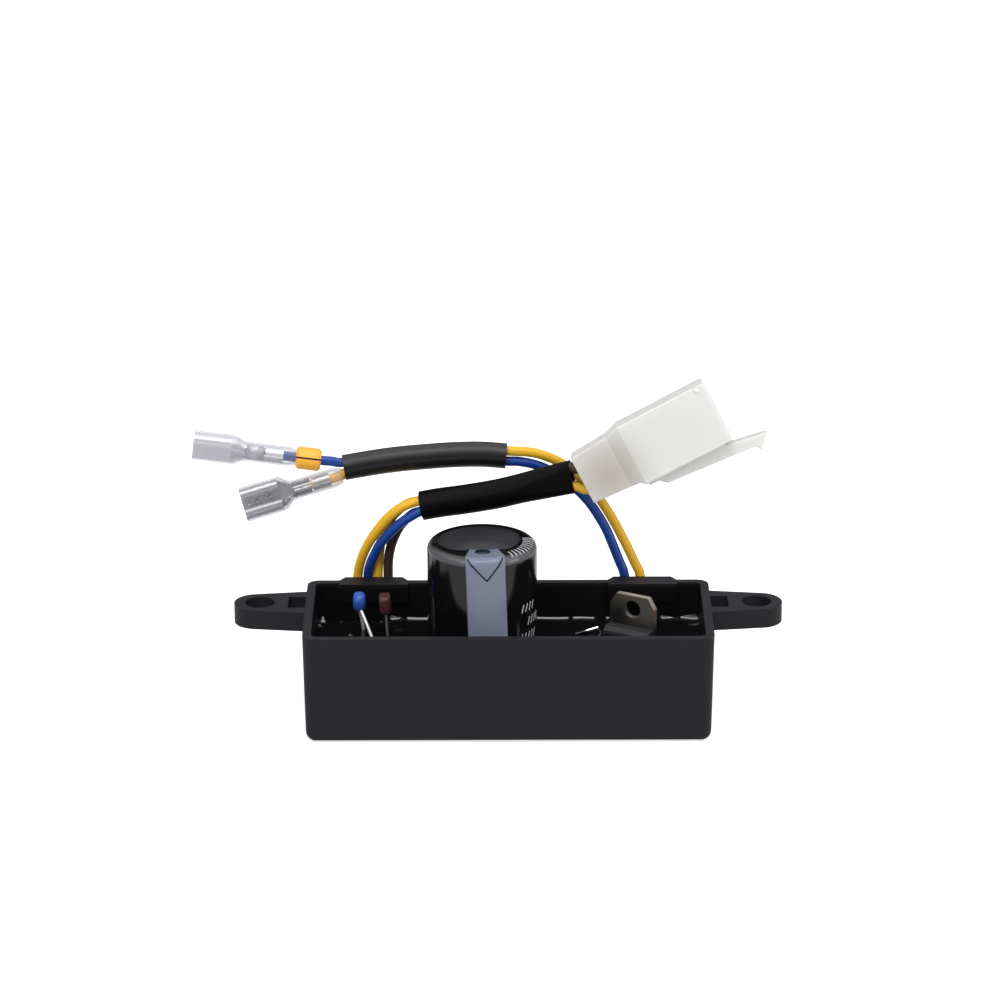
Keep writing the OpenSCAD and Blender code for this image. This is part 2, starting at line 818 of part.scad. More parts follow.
// The stretch of a plug wire in its sleeve, up or down and front or rear where it enters the bundle
function plug_flare(i) = max(0, (i - twist_end) / (len(plug_line) - 1 - twist_end));
function plug_bundle(up, front) = let (n = normals(plug_line, plug_up))
    [for (i = [0:len(plug_line) - 1]) let (a = plug_twist * min(1, i / twist_end))
        plug_line[i] + (up * cos(a) - front * sin(a)) * mix(bundle, bundle_plug, plug_flare(i)) * n[i]
            + (up * sin(a) + front * cos(a)) * bundle * cross(heading(plug_line, i), n[i])];

// The end of a plug wire in its cavity, by shares of the way to the crimp and to the cavity's middle
function plug_end(up, front) = let (y = -front * cavity_pitch.x / 2, z = up * cavity_pitch.y / 2)
    [for (q = [[0, 0.68], [0.5, 0.95], [0.75, 1], [1, 1]])
        placed([q.x * crimp_end, q.y * y, z], plug_at, plug_turn)];

// The stretch of a brush wire in its sleeve, where the pair turns about each other
function brush_bundle(from) = let (n = normals(brush_line, brush_up), last = len(brush_line) - 1)
    [for (i = [0:last]) let (a = from + brush_twist * i / last)
        brush_line[i] + brush_pair * (cos(a) * n[i] + sin(a) * cross(heading(brush_line, i), n[i]))];

function plug_route(slot, free, up, front) = concat(wire_start(left_slots[slot] - duct_x), free,
    plug_bundle(up, front), plug_end(-up, -front));
function brush_route(slot, free, from, tail) = concat(wire_start(right_slots[slot] + duct_x), free,
    brush_bundle(from), tail);

// The end of a brush wire: through the marker or the open air into the terminal's grip
blue_2_tail = concat([[-36, 21.6, 46.3]], [for (x = [-marker_l, 0, wire_crimp[0]])
    placed([x, 0, 0], upper_at, upper_turn)]);
yellow_3_tail = [for (x = [0, wire_crimp[0]]) placed([x, 0, 0], lower_at, lower_turn)];

module wire(route) {
    tube(route, wire_r, wire_sides);
}

module yellow_wire_1() {
    color("#e3b223")
        wire(plug_route(0, yellow_1_free, 1, 1));
}

module blue_wire_1() {
    color("#2a56a8")
        wire(plug_route(1, blue_1_free, -1, 1));
}

module yellow_wire_2() {
    color("#e3b223")
        wire(plug_route(2, yellow_2_free, 1, -1));
}

module brown_wire() {
    color("#5b3a2a")
        wire(plug_route(3, brown_free, -1, -1));
}

module blue_wire_2() {
    color("#2a56a8")
        wire(brush_route(0, blue_2_free, 180, blue_2_tail));
}

module yellow_wire_3() {
    color("#e3b223")
        wire(brush_route(1, yellow_3_free, 0, yellow_3_tail));
}

// Black sleeves over the bundles
function plug_sleeve_rings(grow) = let (n = normals(plug_line, plug_up))
    [for (i = [0:len(plug_line) - 1])
        let (s = mix(sleeve_open, sleeve_plug, plug_flare(i)) + grow * [1, 1, 1])
            ring(plug_line, n, i, rounded(s[0], s[1], s[2]))];

module plug_sleeve() {
    color("#1a1a1d")
        pipe_skin(plug_sleeve_rings(sleeve_t), plug_sleeve_rings(0));
}

module brush_sleeve() {
    color("#1a1a1d")
        pipe_skin(tube_rings(brush_line, brush_r + sleeve_t, sleeve_sides, brush_up),
            tube_rings(brush_line, brush_r, sleeve_sides, brush_up));
}

// Plug
module on_plug() {
    translate(plug_at)
        rotate(plug_turn)
            children();
}

// Side of the plug: a tapered rear body that steps up to the hood
module plug_side() {
    low = -hood_h / 2;
    polygon([[0, -plug_rear_h / 2], [plug_step[1] - 1, -plug_neck_h / 2], [plug_step[1], low], [plug_l, low],
        [plug_l, hood_h / 2], [plug_step[1], hood_h / 2], [plug_step[0], plug_neck_h / 2],
        [0, plug_rear_h / 2]]);
}

module plug_plan() {
    polygon([[0, -plug_rear_w / 2], [plug_step[0], -plug_rear_w / 2], [plug_step[1], -hood_w / 2],
        [plug_l, -hood_w / 2], [plug_l, hood_w / 2], [plug_step[1], hood_w / 2],
        [plug_step[0], plug_rear_w / 2], [0, plug_rear_w / 2]]);
}

// Latch arm under the hood: a web, a slanted arm that reaches past the mouth and a barb on its outer face
module latch_arm() {
    low = -hood_h / 2;
    tip = plug_l + arm_reach;
    drop = (tip - arm_root[0]) * tan(arm_slant);
    rotate([90, 0, 0])
        linear_extrude(arm_w, center = true) {
            polygon([[arm_root[0], low + over], [arm_root[1], low + over],
                [arm_root[1] + arm_gap, low - arm_gap],
                [tip - barb.x / 3, low - drop - arm_gap / 2], [tip, low - drop - arm_gap],
                [tip - barb.x * barb_slant, low - drop - arm_gap - arm_t - barb.y],
                [tip - barb.x, low - drop - arm_gap - arm_t], [arm_root[0] + arm_t, low - arm_gap - arm_t],
                [arm_root[0], low - arm_gap]]);
            translate([rib[0], low - rib[2]])
                square([rib[1] - rib[0], rib[2] + over]);
        }
}

module at_cavities() {
    for (y = [-1, 1], z = [-1, 1])
        translate([0, y * cavity_pitch.x / 2, z * cavity_pitch.y / 2])
            children();
}

module plug_housing() {
    color("#e9ebe6")
        on_plug()
            difference() {
                union() {
                    intersection() {
                        rotate([90, 0, 0])
                            linear_extrude(hood_w, center = true)
                                plug_side();
                        linear_extrude(hood_h, center = true)
                            plug_plan();
                    }
                    latch_arm();
                }
                translate([hood_floor, -hood_w / 2 + hood_t, -hood_h / 2 + hood_t])
                    cube([plug_l, hood_w - 2 * hood_t, hood_h - 2 * hood_t]);
                at_cavities()
                    translate([-over, -cavity_size.x / 2, -cavity_size.y / 2])
                        cube([hood_floor + 2 * over, cavity_size.x, cavity_size.y]);
            }
}

// Blade terminals: a wire crimp, a shoulder that fills the cavity and a blade with a pointed end
module plug_terminals() {
    shoulder = cavity_size - 2 * slip * [1, 1];
    point = blade_w / 4;
    color("#c9ccd0")
        on_plug()
            at_cavities() {
                translate([crimp_end, -stem.x / 2, -stem.y / 2])
                    cube([stem.x, stem.x, stem.y]);
                translate([crimp_end + stem.x, -shoulder.x / 2, -shoulder.y / 2])
                    cube([hood_floor - crimp_end - stem.x, shoulder.x, shoulder.y]);
                translate([0, 0, -blade_t / 2])
                    linear_extrude(blade_t)
                        polygon([[hood_floor - over, -blade_w / 2], [blade_end - point, -blade_w / 2],
                            [blade_end, -point], [blade_end, point], [blade_end - point, blade_w / 2],
                            [hood_floor - over, blade_w / 2]]);
            }
}

// Push-on terminals
// One rolled side of the socket: a ring of sheet that ends in a lip over the base
module roll_outline() {
    reach = 2 * roll_r;
    translate([roll_gap / 2, roll_z])
        difference() {
            circle(roll_r);
            circle(roll_r - sheet_t);
            polygon([[0, 0], reach * [cos(lip_turn), sin(lip_turn)], [-reach, -reach], [0, -reach]]);
        }
}

module socket_outline() {
    roll_outline();
    mirror([1, 0])
        roll_outline();
    translate([-roll_gap / 2, spade_low])
        square([roll_gap, sheet_t]);
}

// Strip under the crimps, widening to the base of the socket
module strip_plan() {
    neck = wire_crimp[1] + 0.4;
    polygon([[grip_from, -strip_w / 2], [neck, -strip_w / 2], [socket_from, -roll_gap / 2],
        [socket_from + over, -roll_gap / 2], [socket_from + over, roll_gap / 2],
        [socket_from, roll_gap / 2], [neck, strip_w / 2], [grip_from, strip_w / 2]]);
}

// Wire crimp: the two wings rolled over into humps
module crimp_outline() {
    for (side = [-1, 1])
        translate([side * (strip_w / 2 - hump_r), crimp_top - hump_r])
            circle(hump_r);
    translate([-strip_w / 2, spade_low])
        square([strip_w, crimp_top - hump_r - spade_low]);
}

// An outline set square to the terminal, drawn out along it
module along(from, to) {
    translate([from, 0, 0])
        rotate([90, 0, 90])
            linear_extrude(to - from)
                children();
}

module push_on_terminal() {
    along(socket_from, spade_l)
        socket_outline();
    difference() {
        union() {
            translate([0, 0, spade_low])
                linear_extrude(sheet_t)
                    strip_plan();
            translate([grip_from, 0, 0])
                rotate([0, 90, 0])
                    cylinder(h = grip_to - grip_from, r = grip_r);
            along(wire_crimp[0], wire_crimp[1])
                crimp_outline();
        }
        translate([grip_from - over, 0, 0])
            rotate([0, 90, 0])
                cylinder(h = wire_crimp[0] - grip_from + over, r = wire_r + slip);
        translate([grip_from - over, -seam / 2, 0])
            cube([grip_to - grip_from + over + slip, seam, grip_r + over]);
    }
}

module upper_terminal() {
    color("#c4c6c8")
        translate(upper_at)
            rotate(upper_turn)
                push_on_terminal();
}

module lower_terminal() {
    color("#c4c6c8")
        translate(lower_at)
            rotate(lower_turn)
                push_on_terminal();
}

// Clear cover: a soft tube, round at the wire and flat over the socket
function cover_rings(grow) = [for (s = cover_bore) let (a = s[1] + grow, b = s[2] + grow)
    [for (q = rounded(a, b, min(a, b) - 0.01)) [s[0], q.x, q.y]]];

module push_on_cover() {
    pipe_skin(cover_rings(cover_t), cover_rings(0));
}

module upper_cover() {
    color("#dfe3e6", 0.4)
        translate(upper_at)
            rotate(upper_turn)
                push_on_cover();
}

module lower_cover() {
    color("#dfe3e6", 0.4)
        translate(lower_at)
            rotate(lower_turn)
                push_on_cover();
}

// Marker ring on the blue wire, split along one side
module wire_marker() {
    split_w = 0.35;
    split_turn = 50;
    edge = 0.5;
    color("#f0a92a")
        translate(upper_at)
            rotate(upper_turn)
                difference() {
                    translate([-marker_l, 0, 0])
                        rotate([0, 90, 0])
                            rotate_extrude()
                                polygon([[wire_r + slip, 0], [marker_d / 2 - edge, 0],
                                    [marker_d / 2, edge], [marker_d / 2, marker_l - edge],
                                    [marker_d / 2 - edge, marker_l], [wire_r + slip, marker_l]]);
                    rotate([split_turn, 0, 0])
                        translate([-marker_l - over, -split_w / 2, -marker_d])
                            cube([marker_l + 2 * over, split_w, marker_d]);
                }
}

housing();
potting();
circuit_board();
capacitor_can();
capacitor_sleeve();
capacitor_disc();
capacitor_bung();
capacitor_pins();
transistor_tab();
transistor_body();
transistor_leads();
blue_capacitor();
blue_capacitor_leads();
film_capacitor();
film_capacitor_leads();
rectifier_diodes();
diode_leads();
resistors();
resistor_leads();
yellow_wire_1();
blue_wire_1();
yellow_wire_2();
brown_wire();
blue_wire_2();
yellow_wire_3();
plug_sleeve();
brush_sleeve();
plug_housing();
plug_terminals();
wire_marker();
upper_terminal();
lower_terminal();
upper_cover();
lower_cover();
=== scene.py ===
"""Looks of the automatic voltage regulator on its CAD frame.

Lengths are in millimetres until MM scales them to metres.
"""
import math

import bmesh
import bpy
from mathutils import Euler, Matrix, Vector, noise


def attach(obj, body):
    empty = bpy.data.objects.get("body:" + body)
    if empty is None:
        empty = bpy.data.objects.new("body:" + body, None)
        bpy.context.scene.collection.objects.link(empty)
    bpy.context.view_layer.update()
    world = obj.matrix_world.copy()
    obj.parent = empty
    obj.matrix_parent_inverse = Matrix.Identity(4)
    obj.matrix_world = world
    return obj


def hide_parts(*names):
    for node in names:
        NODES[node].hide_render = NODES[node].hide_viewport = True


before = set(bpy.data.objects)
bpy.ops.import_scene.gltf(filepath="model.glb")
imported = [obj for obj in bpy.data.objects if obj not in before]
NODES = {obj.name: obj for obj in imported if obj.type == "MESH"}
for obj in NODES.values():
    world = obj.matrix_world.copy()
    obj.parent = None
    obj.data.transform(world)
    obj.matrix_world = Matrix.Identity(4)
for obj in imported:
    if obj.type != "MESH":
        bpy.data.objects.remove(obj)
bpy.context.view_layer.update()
MM = 0.001

# Camera of the photo, fitted to the box, the ears and the capacitor
ELEVATION = math.radians(20.255)
DISTANCE = 875
TARGET = (-1.58, 0, 45.75)
ROLL = math.radians(0.147)
LENS = 158.5
SENSOR = 36
CLIP = (0.05, 20)

# Sizes that the visual pieces share with the CAD
HOUSING_H = 22.4
POTTING_Z = 14.3
CAVITY = (38.95, 14.35)
WALL = 1.7
DUCT_X = 27.4
SLOT = (4.79, 19.15, 1.14)
LEAD_R = 0.35
LEAD_END = 3.7
CAP_AXIS = (-5.2, 1.0)
CAP_BASE = 6.5
CAP_R = 11.0
CAP_H = 30.2
CAP_SHOULDER = 1.55
CAP_SKIN = 0.25
WIRE_R = 1.0
SLEEVE_WALL = 0.4
COVER_WALL = 0.35
# Thickness of prints and marks
INK_T = 0.03

# Lines of the sleeves, places and turns of the plug and of the two terminals
PLUG_LINE = [(-17.5, 17.5, 38.1), (-13.7, 17.2, 38.9), (-9.7, 16.8, 39.6), (-5.6, 16.4, 40.4),
             (-1.6, 16, 41.3), (2.5, 15.5, 42.5), (7.5, 15, 43.9), (13.1, 14.5, 45.4)]
PLUG_UP = (0, 0.26, 0.97)
BRUSH_LINE = [(-0.3, 22.5, 47), (-5.6, 22.5, 47.4), (-11.7, 22.4, 47.3), (-16.8, 22.2, 47),
              (-21.9, 22, 46.6), (-27, 21.7, 46), (-33.3, 21.3, 45)]
BRUSH_UP = (0, 0, 1)
PLUG = ((15, 14.3, 45.1), (-15, -27, 6))
UPPER = ((-43, 21.5, 47.2), (60, -7.5, 180))
LOWER = ((-33.7, 20.8, 43.5), (-70, 14, 190))

# Wires: the CAD routes. START is the way from the board through the gate and up the slot, as y and z.
# FREE has each wire's place along its duct and its points after the slot
START = [(12.1, 6.5), (12.1, 8.1), (13.2, 10.6), (15.6, 11.6), (17.4, 12.1), (18.7, 13.4), (19.2, 15.1),
         (19.2, 18.3), (19.2, HOUSING_H)]
FREE = {
    "yellow_wire_1": (-30.7, [
        (-30, 18.6, 25.9), (-28.7, 18, 29.2), (-27, 17.4, 32.2), (-25, 17, 35), (-22.9, 16.7, 37.1),
        (-20.8, 16.6, 38.5), (-17.8, 16.8, 39.4), (-13.9, 15.8, 39.5), (-9.8, 15.3, 39.3),
        (-5.5, 15.4, 39.3), (-1.2, 15.8, 39.9), (2.9, 16.2, 41.3), (8, 15.6, 42.2), (13.7, 15, 43.3),
        (16.1, 15.3, 42.7), (18.8, 16.2, 43.9), (20.1, 16.4, 44.5), (21.5, 16.6, 45.2)]),
    "blue_wire_1": (-28.6, [
        (-28, 18, 25.5), (-27.1, 17.5, 27.7), (-26, 17, 30), (-24, 16.5, 32.6), (-21.9, 16.3, 34.7),
        (-19.8, 16.2, 36.2), (-17.4, 16.2, 37.4), (-13.5, 16.6, 37.6), (-9.4, 17.1, 38.2),
        (-5.3, 17.5, 39.4), (-1.4, 17.5, 41.2), (2.4, 16.8, 43.2), (7.3, 16.4, 45), (12.8, 16.1, 46.9),
        (13.9, 16.3, 46.8), (16.6, 17.2, 48), (17.9, 17.5, 48.7), (19.2, 17.6, 49.4)]),
    "yellow_wire_2": (-26.6, [
        (-26.4, 20, 25.6), (-25.9, 19.9, 29.4), (-24.5, 19.7, 33.3), (-22.6, 19.4, 36.1), (-20.3, 19.1, 38),
        (-17.6, 18.8, 38.8), (-13.9, 17.8, 40.2), (-10, 16.5, 41), (-5.9, 15.3, 41.4), (-1.8, 14.5, 41.4),
        (2.6, 14.2, 41.8), (7.7, 13.6, 42.8), (13.4, 12.9, 43.9), (16.1, 12.3, 43.4), (18.7, 11.9, 44.9),
        (20.1, 12, 45.6), (21.4, 12.1, 46.3)]),
    "brown_wire": (-24.5, [
        (-24.4, 19.4, 25.6), (-23.8, 19.3, 28.9), (-22.5, 19, 32.2), (-21, 18.7, 34.4), (-19.2, 18.4, 36.1),
        (-17.2, 18.2, 36.8), (-13.5, 18.6, 38.3), (-9.6, 18.3, 39.9), (-5.7, 17.4, 41.5), (-2, 16.2, 42.7),
        (2.1, 14.8, 43.7), (7, 14.4, 45.6), (12.5, 14, 47.5), (13.9, 13.3, 47.5), (16.5, 13, 49),
        (17.8, 13, 49.7), (19.2, 13.1, 50.4)]),
    "blue_wire_2": (23.8, [
        (22.7, 19.9, 25.3), (21.4, 20.6, 28.5), (20.1, 21.3, 31.5), (18.4, 21.9, 34.4), (16.6, 22.3, 37),
        (14.2, 22.5, 39.6), (11, 22.5, 42.3), (7, 22.5, 44.6), (3, 22.5, 45.7), (-0.4, 22.5, 45.9),
        (-5.6, 21.9, 46.5), (-11.7, 21.4, 46.9), (-16.8, 21.1, 47.2), (-21.9, 21.2, 47.4),
        (-27.1, 21.4, 47.1), (-33.5, 21.7, 46), (-36, 21.6, 46.3), (-37.9, 21.5, 46.5),
        (-43, 21.5, 47.2), (-49.5, 21.5, 48.1)]),
    "yellow_wire_3": (27, [
        (26, 19.9, 24.6), (24.8, 20.6, 27.1), (23.4, 21.3, 29.8), (21.9, 21.9, 32.6), (20.3, 22.3, 35.3),
        (18.5, 22.6, 38), (16.2, 22.7, 40.8), (13.2, 22.7, 43.6), (9.8, 22.6, 46), (5.2, 22.5, 47.7),
        (-0.2, 22.5, 48.1), (-5.6, 23.1, 48.3), (-11.7, 23.4, 47.7), (-16.8, 23.3, 46.8),
        (-21.9, 22.8, 45.8), (-26.9, 22, 44.9), (-33.1, 20.9, 44), (-33.7, 20.8, 43.5),
        (-40, 19.7, 41.9)]),
}


def place(at, turn):
    """Matrix of a place and of turns about x, y and z in degrees."""
    return Matrix.Translation(Vector(at)) @ Euler([math.radians(a) for a in turn]).to_matrix().to_4x4()


# Materials: detail of the two noises, how much broader one is than the other, and the least roughness
FINE_DETAIL = 4
BROAD_DETAIL = 3
BROADER = 9
LEAST_ROUGH = 0.02
# How fast a clear film covers more towards its edges
EDGE_BLEND = 0.35


def srgb(r, g, b):
    """Linear colour of a display colour from 0 to 255."""
    return tuple(((c / 255 + 0.055) / 1.055) ** 2.4 for c in (r, g, b))


def surface(name, color, rough, spread=0.08, grain=900, bump=0.1, depth=0.02, tone=0.08, metal=0.0,
            **sockets):
    """A principled surface with fine noise in its roughness, tone and relief."""
    m = bpy.data.materials.new(name)
    m.use_nodes = True
    t = m.node_tree
    b = t.nodes["Principled BSDF"]
    where = t.nodes.new("ShaderNodeTexCoord")
    fine = t.nodes.new("ShaderNodeTexNoise")
    fine.inputs["Scale"].default_value = grain
    fine.inputs["Detail"].default_value = FINE_DETAIL
    broad = t.nodes.new("ShaderNodeTexNoise")
    broad.inputs["Scale"].default_value = grain / BROADER
    broad.inputs["Detail"].default_value = BROAD_DETAIL
    for n in (fine, broad):
        t.links.new(where.outputs["Object"], n.inputs["Vector"])
    shade = t.nodes.new("ShaderNodeMapRange")
    shade.inputs["To Min"].default_value = max(LEAST_ROUGH, rough - spread)
    shade.inputs["To Max"].default_value = min(1, rough + spread)
    t.links.new(broad.outputs["Fac"], shade.inputs["Value"])
    b.inputs["Roughness"].default_value = rough
    t.links.new(shade.outputs["Result"], b.inputs["Roughness"])
    tint = t.nodes.new("ShaderNodeMix")
    tint.data_type = "RGBA"
    tint.inputs["A"].default_value = (*[c * (1 - tone) for c in color], 1)
    tint.inputs["B"].default_value = (*[min(1, c * (1 + tone)) for c in color], 1)
    t.links.new(broad.outputs["Fac"], tint.inputs["Factor"])
    b.inputs["Base Color"].default_value = (*color, 1)
    t.links.new(tint.outputs["Result"], b.inputs["Base Color"])
    relief = t.nodes.new("ShaderNodeBump")
    relief.inputs["Strength"].default_value = bump
    relief.inputs["Distance"].default_value = depth * MM
    t.links.new(fine.outputs["Fac"], relief.inputs["Height"])
    t.links.new(relief.outputs["Normal"], b.inputs["Normal"])
    b.inputs["Metallic"].default_value = metal
    for key, value in sockets.items():
        b.inputs[key.replace("_", " ")].default_value = value
    return m


def mixed_in(m, color, share):
    """Mixes a second colour into a surface by the share that a socket gives."""
    t = m.node_tree
    base = t.nodes["Principled BSDF"].inputs["Base Color"]
    mix = t.nodes.new("ShaderNodeMix")
    mix.data_type = "RGBA"
    mix.inputs["B"].default_value = (*color, 1)
    t.links.new(share, mix.inputs["Factor"])
    t.links.new(base.links[0].from_socket, mix.inputs["A"])
    t.links.new(mix.outputs["Result"], base)


def measured(m, operation, vector):
    """Number that a vector operation gives for each place on a surface."""
    t = m.node_tree
    where = t.nodes.new("ShaderNodeTexCoord")
    n = t.nodes.new("ShaderNodeVectorMath")
    n.operation = operation
    n.inputs[1].default_value = vector
    t.links.new(where.outputs["Object"], n.inputs[0])
    return n.outputs["Value"]


def smooth_share(m, value, low, high):
    """Share that goes softly from 0 at the low value to 1 at the high one."""
    share = m.node_tree.nodes.new("ShaderNodeMapRange")
    share.interpolation_type = "SMOOTHSTEP"
    share.inputs["From Min"].default_value = low
    share.inputs["From Max"].default_value = high
    m.node_tree.links.new(value, share.inputs["Value"])
    return share.outputs["Result"]


def fade(m, color, start, end):
    """Turns a surface to a second colour on the way from one place to another."""
    start, end = Vector(start) * MM, Vector(end) * MM
    way = (end - start).normalized()
    mixed_in(m, color, smooth_share(m, measured(m, "DOT_PRODUCT", way), way.dot(start), way.dot(end)))


def fade_z(m, color, start, end):
    """Turns a surface to a second colour on the way from one height to another."""
    fade(m, color, (0, 0, start), (0, 0, end))


def spot(m, color, at, reach):
    """Turns a surface to a second colour near a place."""
    away = measured(m, "DISTANCE", Vector(at) * MM)
    mixed_in(m, color, smooth_share(m, away, reach * MM, 0))


def paint_inside_shade(m, color, depth):
    """Paints shade on the walls inside the box, over a depth below the rim."""
    t = m.node_tree
    where = t.nodes.new("ShaderNodeTexCoord")
    axes = t.nodes.new("ShaderNodeSeparateXYZ")
    t.links.new(where.outputs["Object"], axes.inputs["Vector"])
    share = t.nodes.new("ShaderNodeMapRange")
    share.inputs["From Min"].default_value = HOUSING_H * MM
    share.inputs["From Max"].default_value = (HOUSING_H - depth) * MM
    t.links.new(axes.outputs["Z"], share.inputs["Value"])
    last = share.outputs["Result"]
    for axis, half in zip("XY", CAVITY):
        size = t.nodes.new("ShaderNodeMath")
        size.operation = "ABSOLUTE"
        t.links.new(axes.outputs[axis], size.inputs[0])
        within = t.nodes.new("ShaderNodeMath")
        within.operation = "LESS_THAN"
        within.inputs[1].default_value = (half + WALL / 2) * MM
        t.links.new(size.outputs["Value"], within.inputs[0])
        both = t.nodes.new("ShaderNodeMath")
        both.operation = "MULTIPLY"
        t.links.new(last, both.inputs[0])
        t.links.new(within.outputs["Value"], both.inputs[1])
        last = both.outputs["Value"]
    mixed_in(m, color, last)


def clear_film(m, facing, edge):
    """Lets light through a surface, most where it faces the ray and least where it is edge on."""
    t = m.node_tree
    b = t.nodes["Principled BSDF"]
    weight = t.nodes.new("ShaderNodeLayerWeight")
    weight.inputs["Blend"].default_value = EDGE_BLEND
    cover = t.nodes.new("ShaderNodeMapRange")
    cover.inputs["To Min"].default_value = facing
    cover.inputs["To Max"].default_value = edge
    t.links.new(weight.outputs["Facing"], cover.inputs["Value"])
    b.inputs["Alpha"].default_value = facing
    t.links.new(cover.outputs["Result"], b.inputs["Alpha"])


BLACK = srgb(14, 14, 16)
# Finishes that materials share
FILM = {"spread": 0.05, "grain": 260, "bump": 0.25, "depth": 0.05}
PLATED = {"spread": 0.08, "grain": 1400, "bump": 0.15}
STAMPED = {"spread": 0.08, "grain": 1400, "bump": 0.2}
INSULATION = {"spread": 0.06, "grain": 700, "bump": 0.15, "Specular_IOR_Level": 0.35}
SLEEVING = {"spread": 0.06, "grain": 600, "bump": 0.2}

HOUSING = surface("housing", srgb(31, 30, 35), 0.5, spread=0.07, grain=1800, bump=0.3, depth=0.03,
                  Specular_IOR_Level=0.16)
# Painted shade on the walls inside the box
paint_inside_shade(HOUSING, srgb(12, 12, 14), depth=1.2)
POTTING = surface("potting", BLACK, 0.1, spread=0.05, grain=500, bump=0.2, depth=0.06,
                  Specular_IOR_Level=0.65)
BOARD = surface("board", srgb(150, 120, 60), 0.5)
ALUMINIUM = surface("aluminium", srgb(205, 207, 210), 0.3, metal=1.0)
SHRINK = surface("shrink film", BLACK, 0.12, **FILM, Specular_IOR_Level=0.38)
# The film has a painted highlight over the shoulder: heights over its start where the painted highlight
# begins and where it ends
SHOULDER = CAP_BASE + CAP_H - CAP_SHOULDER
PAINTED_HIGHLIGHT_RISE = (-0.2, 0.4)
PAINTED_HIGHLIGHT_FALL = (1.1, 1.5)
for color, (low, high) in ((srgb(84, 84, 89), PAINTED_HIGHLIGHT_RISE), (BLACK, PAINTED_HIGHLIGHT_FALL)):
    fade_z(SHRINK, color, SHOULDER + low, SHOULDER + high)
STRIPE = surface("grey stripe", srgb(114, 123, 142), 0.2, **FILM, Specular_IOR_Level=0.3)
# Heights between which light is painted on the stripe, paler downwards, against the shade low in the box
STRIPE_PAINTED_LIGHT = (28, 15.5)
fade_z(STRIPE, srgb(146, 156, 176), *STRIPE_PAINTED_LIGHT)
INK = surface("dark ink", srgb(18, 24, 38), 0.3, Specular_IOR_Level=0.2)
PRINT = surface("pale ink", srgb(178, 180, 184), 0.4)
DISC = surface("dark disc", srgb(46, 45, 50), 0.45, spread=0.1, grain=1500, bump=0.3,
               Specular_IOR_Level=0.18)
BUNG = surface("bung", srgb(52, 45, 42), 0.7)
TINNED = surface("tinned metal", srgb(214, 214, 218), 0.2, **PLATED, metal=1.0)
SPADE = surface("terminal metal", srgb(182, 179, 183), 0.22, **STAMPED, metal=0.6)
# Lit copy of the terminal metal: a paler base colour as painted light on the upper terminal
PAINTED_LIGHT_SPADE = surface("terminal metal with painted light", srgb(238, 236, 240), 0.24, **STAMPED, metal=0.4)
CRIMP = surface("crimped metal", srgb(186, 182, 185), 0.22, **STAMPED, metal=1.0)
# Lit copy of the crimped metal: a paler base colour as painted light on the upper sheet
PAINTED_LIGHT_CRIMP = surface("crimped metal with painted light", srgb(204, 201, 205), 0.34, **STAMPED, metal=0.35)
LEAD = surface("dull lead", srgb(228, 228, 224), 0.38, **PLATED, metal=0.5)
LOOP = surface("lead that turns dark towards the left", srgb(214, 214, 218), 0.25, **PLATED, metal=1.0)
# Stretch of the resistor's lead over which it turns dark towards the left
LOOP_DARKENS = ((16.8, 0, 0), (15.4, 0, 0))
fade(LOOP, srgb(40, 40, 42), *LOOP_DARKENS)
TAB = surface("transistor tab", srgb(170, 162, 154), 0.42, spread=0.1, grain=1200, bump=0.35, metal=0.55)
# The tab's front face is darker, and darker still below and at the left. Its right edge is reddish
TAB_FACE = Vector((25.1, 7.6, 0))
TAB_BACK = Vector((0.485, 0.875, 0))
TAB_FACE_DEPTHS = (0.15, 0.05)
TAB_LOW = (19, 15)
TAB_LEFT = ((22, 9.3, 17.5), 6)
TAB_EDGE = ((29.8, 5.6, 19.2), 1.5)
fade(TAB, srgb(122, 117, 110), *[TAB_FACE + behind * TAB_BACK for behind in TAB_FACE_DEPTHS])
fade_z(TAB, srgb(64, 62, 59), *TAB_LOW)
spot(TAB, srgb(42, 42, 41), *TAB_LEFT)
spot(TAB, srgb(156, 108, 96), *TAB_EDGE)
MOULD = surface("transistor body", srgb(50, 50, 52), 0.5, spread=0.1, grain=2500, bump=0.4,
                Specular_IOR_Level=0.25)
BLUE_DIP = surface("blue dip", srgb(42, 92, 184), 0.34, Specular_IOR_Level=0.3)
MAROON_DIP = surface("maroon dip", srgb(78, 44, 48), 0.36, Specular_IOR_Level=0.3)
DARK_LEAD = surface("coated lead", srgb(52, 44, 40), 0.45)
TAN = surface("resistor lacquer", srgb(200, 180, 140), 0.4)
YELLOW = surface("yellow insulation", srgb(236, 182, 40), 0.38, **INSULATION)
BLUE = surface("blue insulation", srgb(14, 64, 150), 0.36, **INSULATION)
BROWN = surface("brown insulation", srgb(66, 48, 46), 0.38, **INSULATION)
GLOSSY_PVC = surface("glossy black sleeve", srgb(17, 17, 19), 0.36, **SLEEVING, Specular_IOR_Level=0.34)
MATT_PVC = surface("matt black sleeve", srgb(7, 7, 9), 0.42, **SLEEVING, Specular_IOR_Level=0.06)
NYLON = surface("white nylon", srgb(221, 221, 219), 0.42, spread=0.06, grain=500, bump=0.12, tone=0.02,
                Subsurface_Weight=0.6, Subsurface_Scale=0.002, Subsurface_Radius=(1, 1, 0.95))
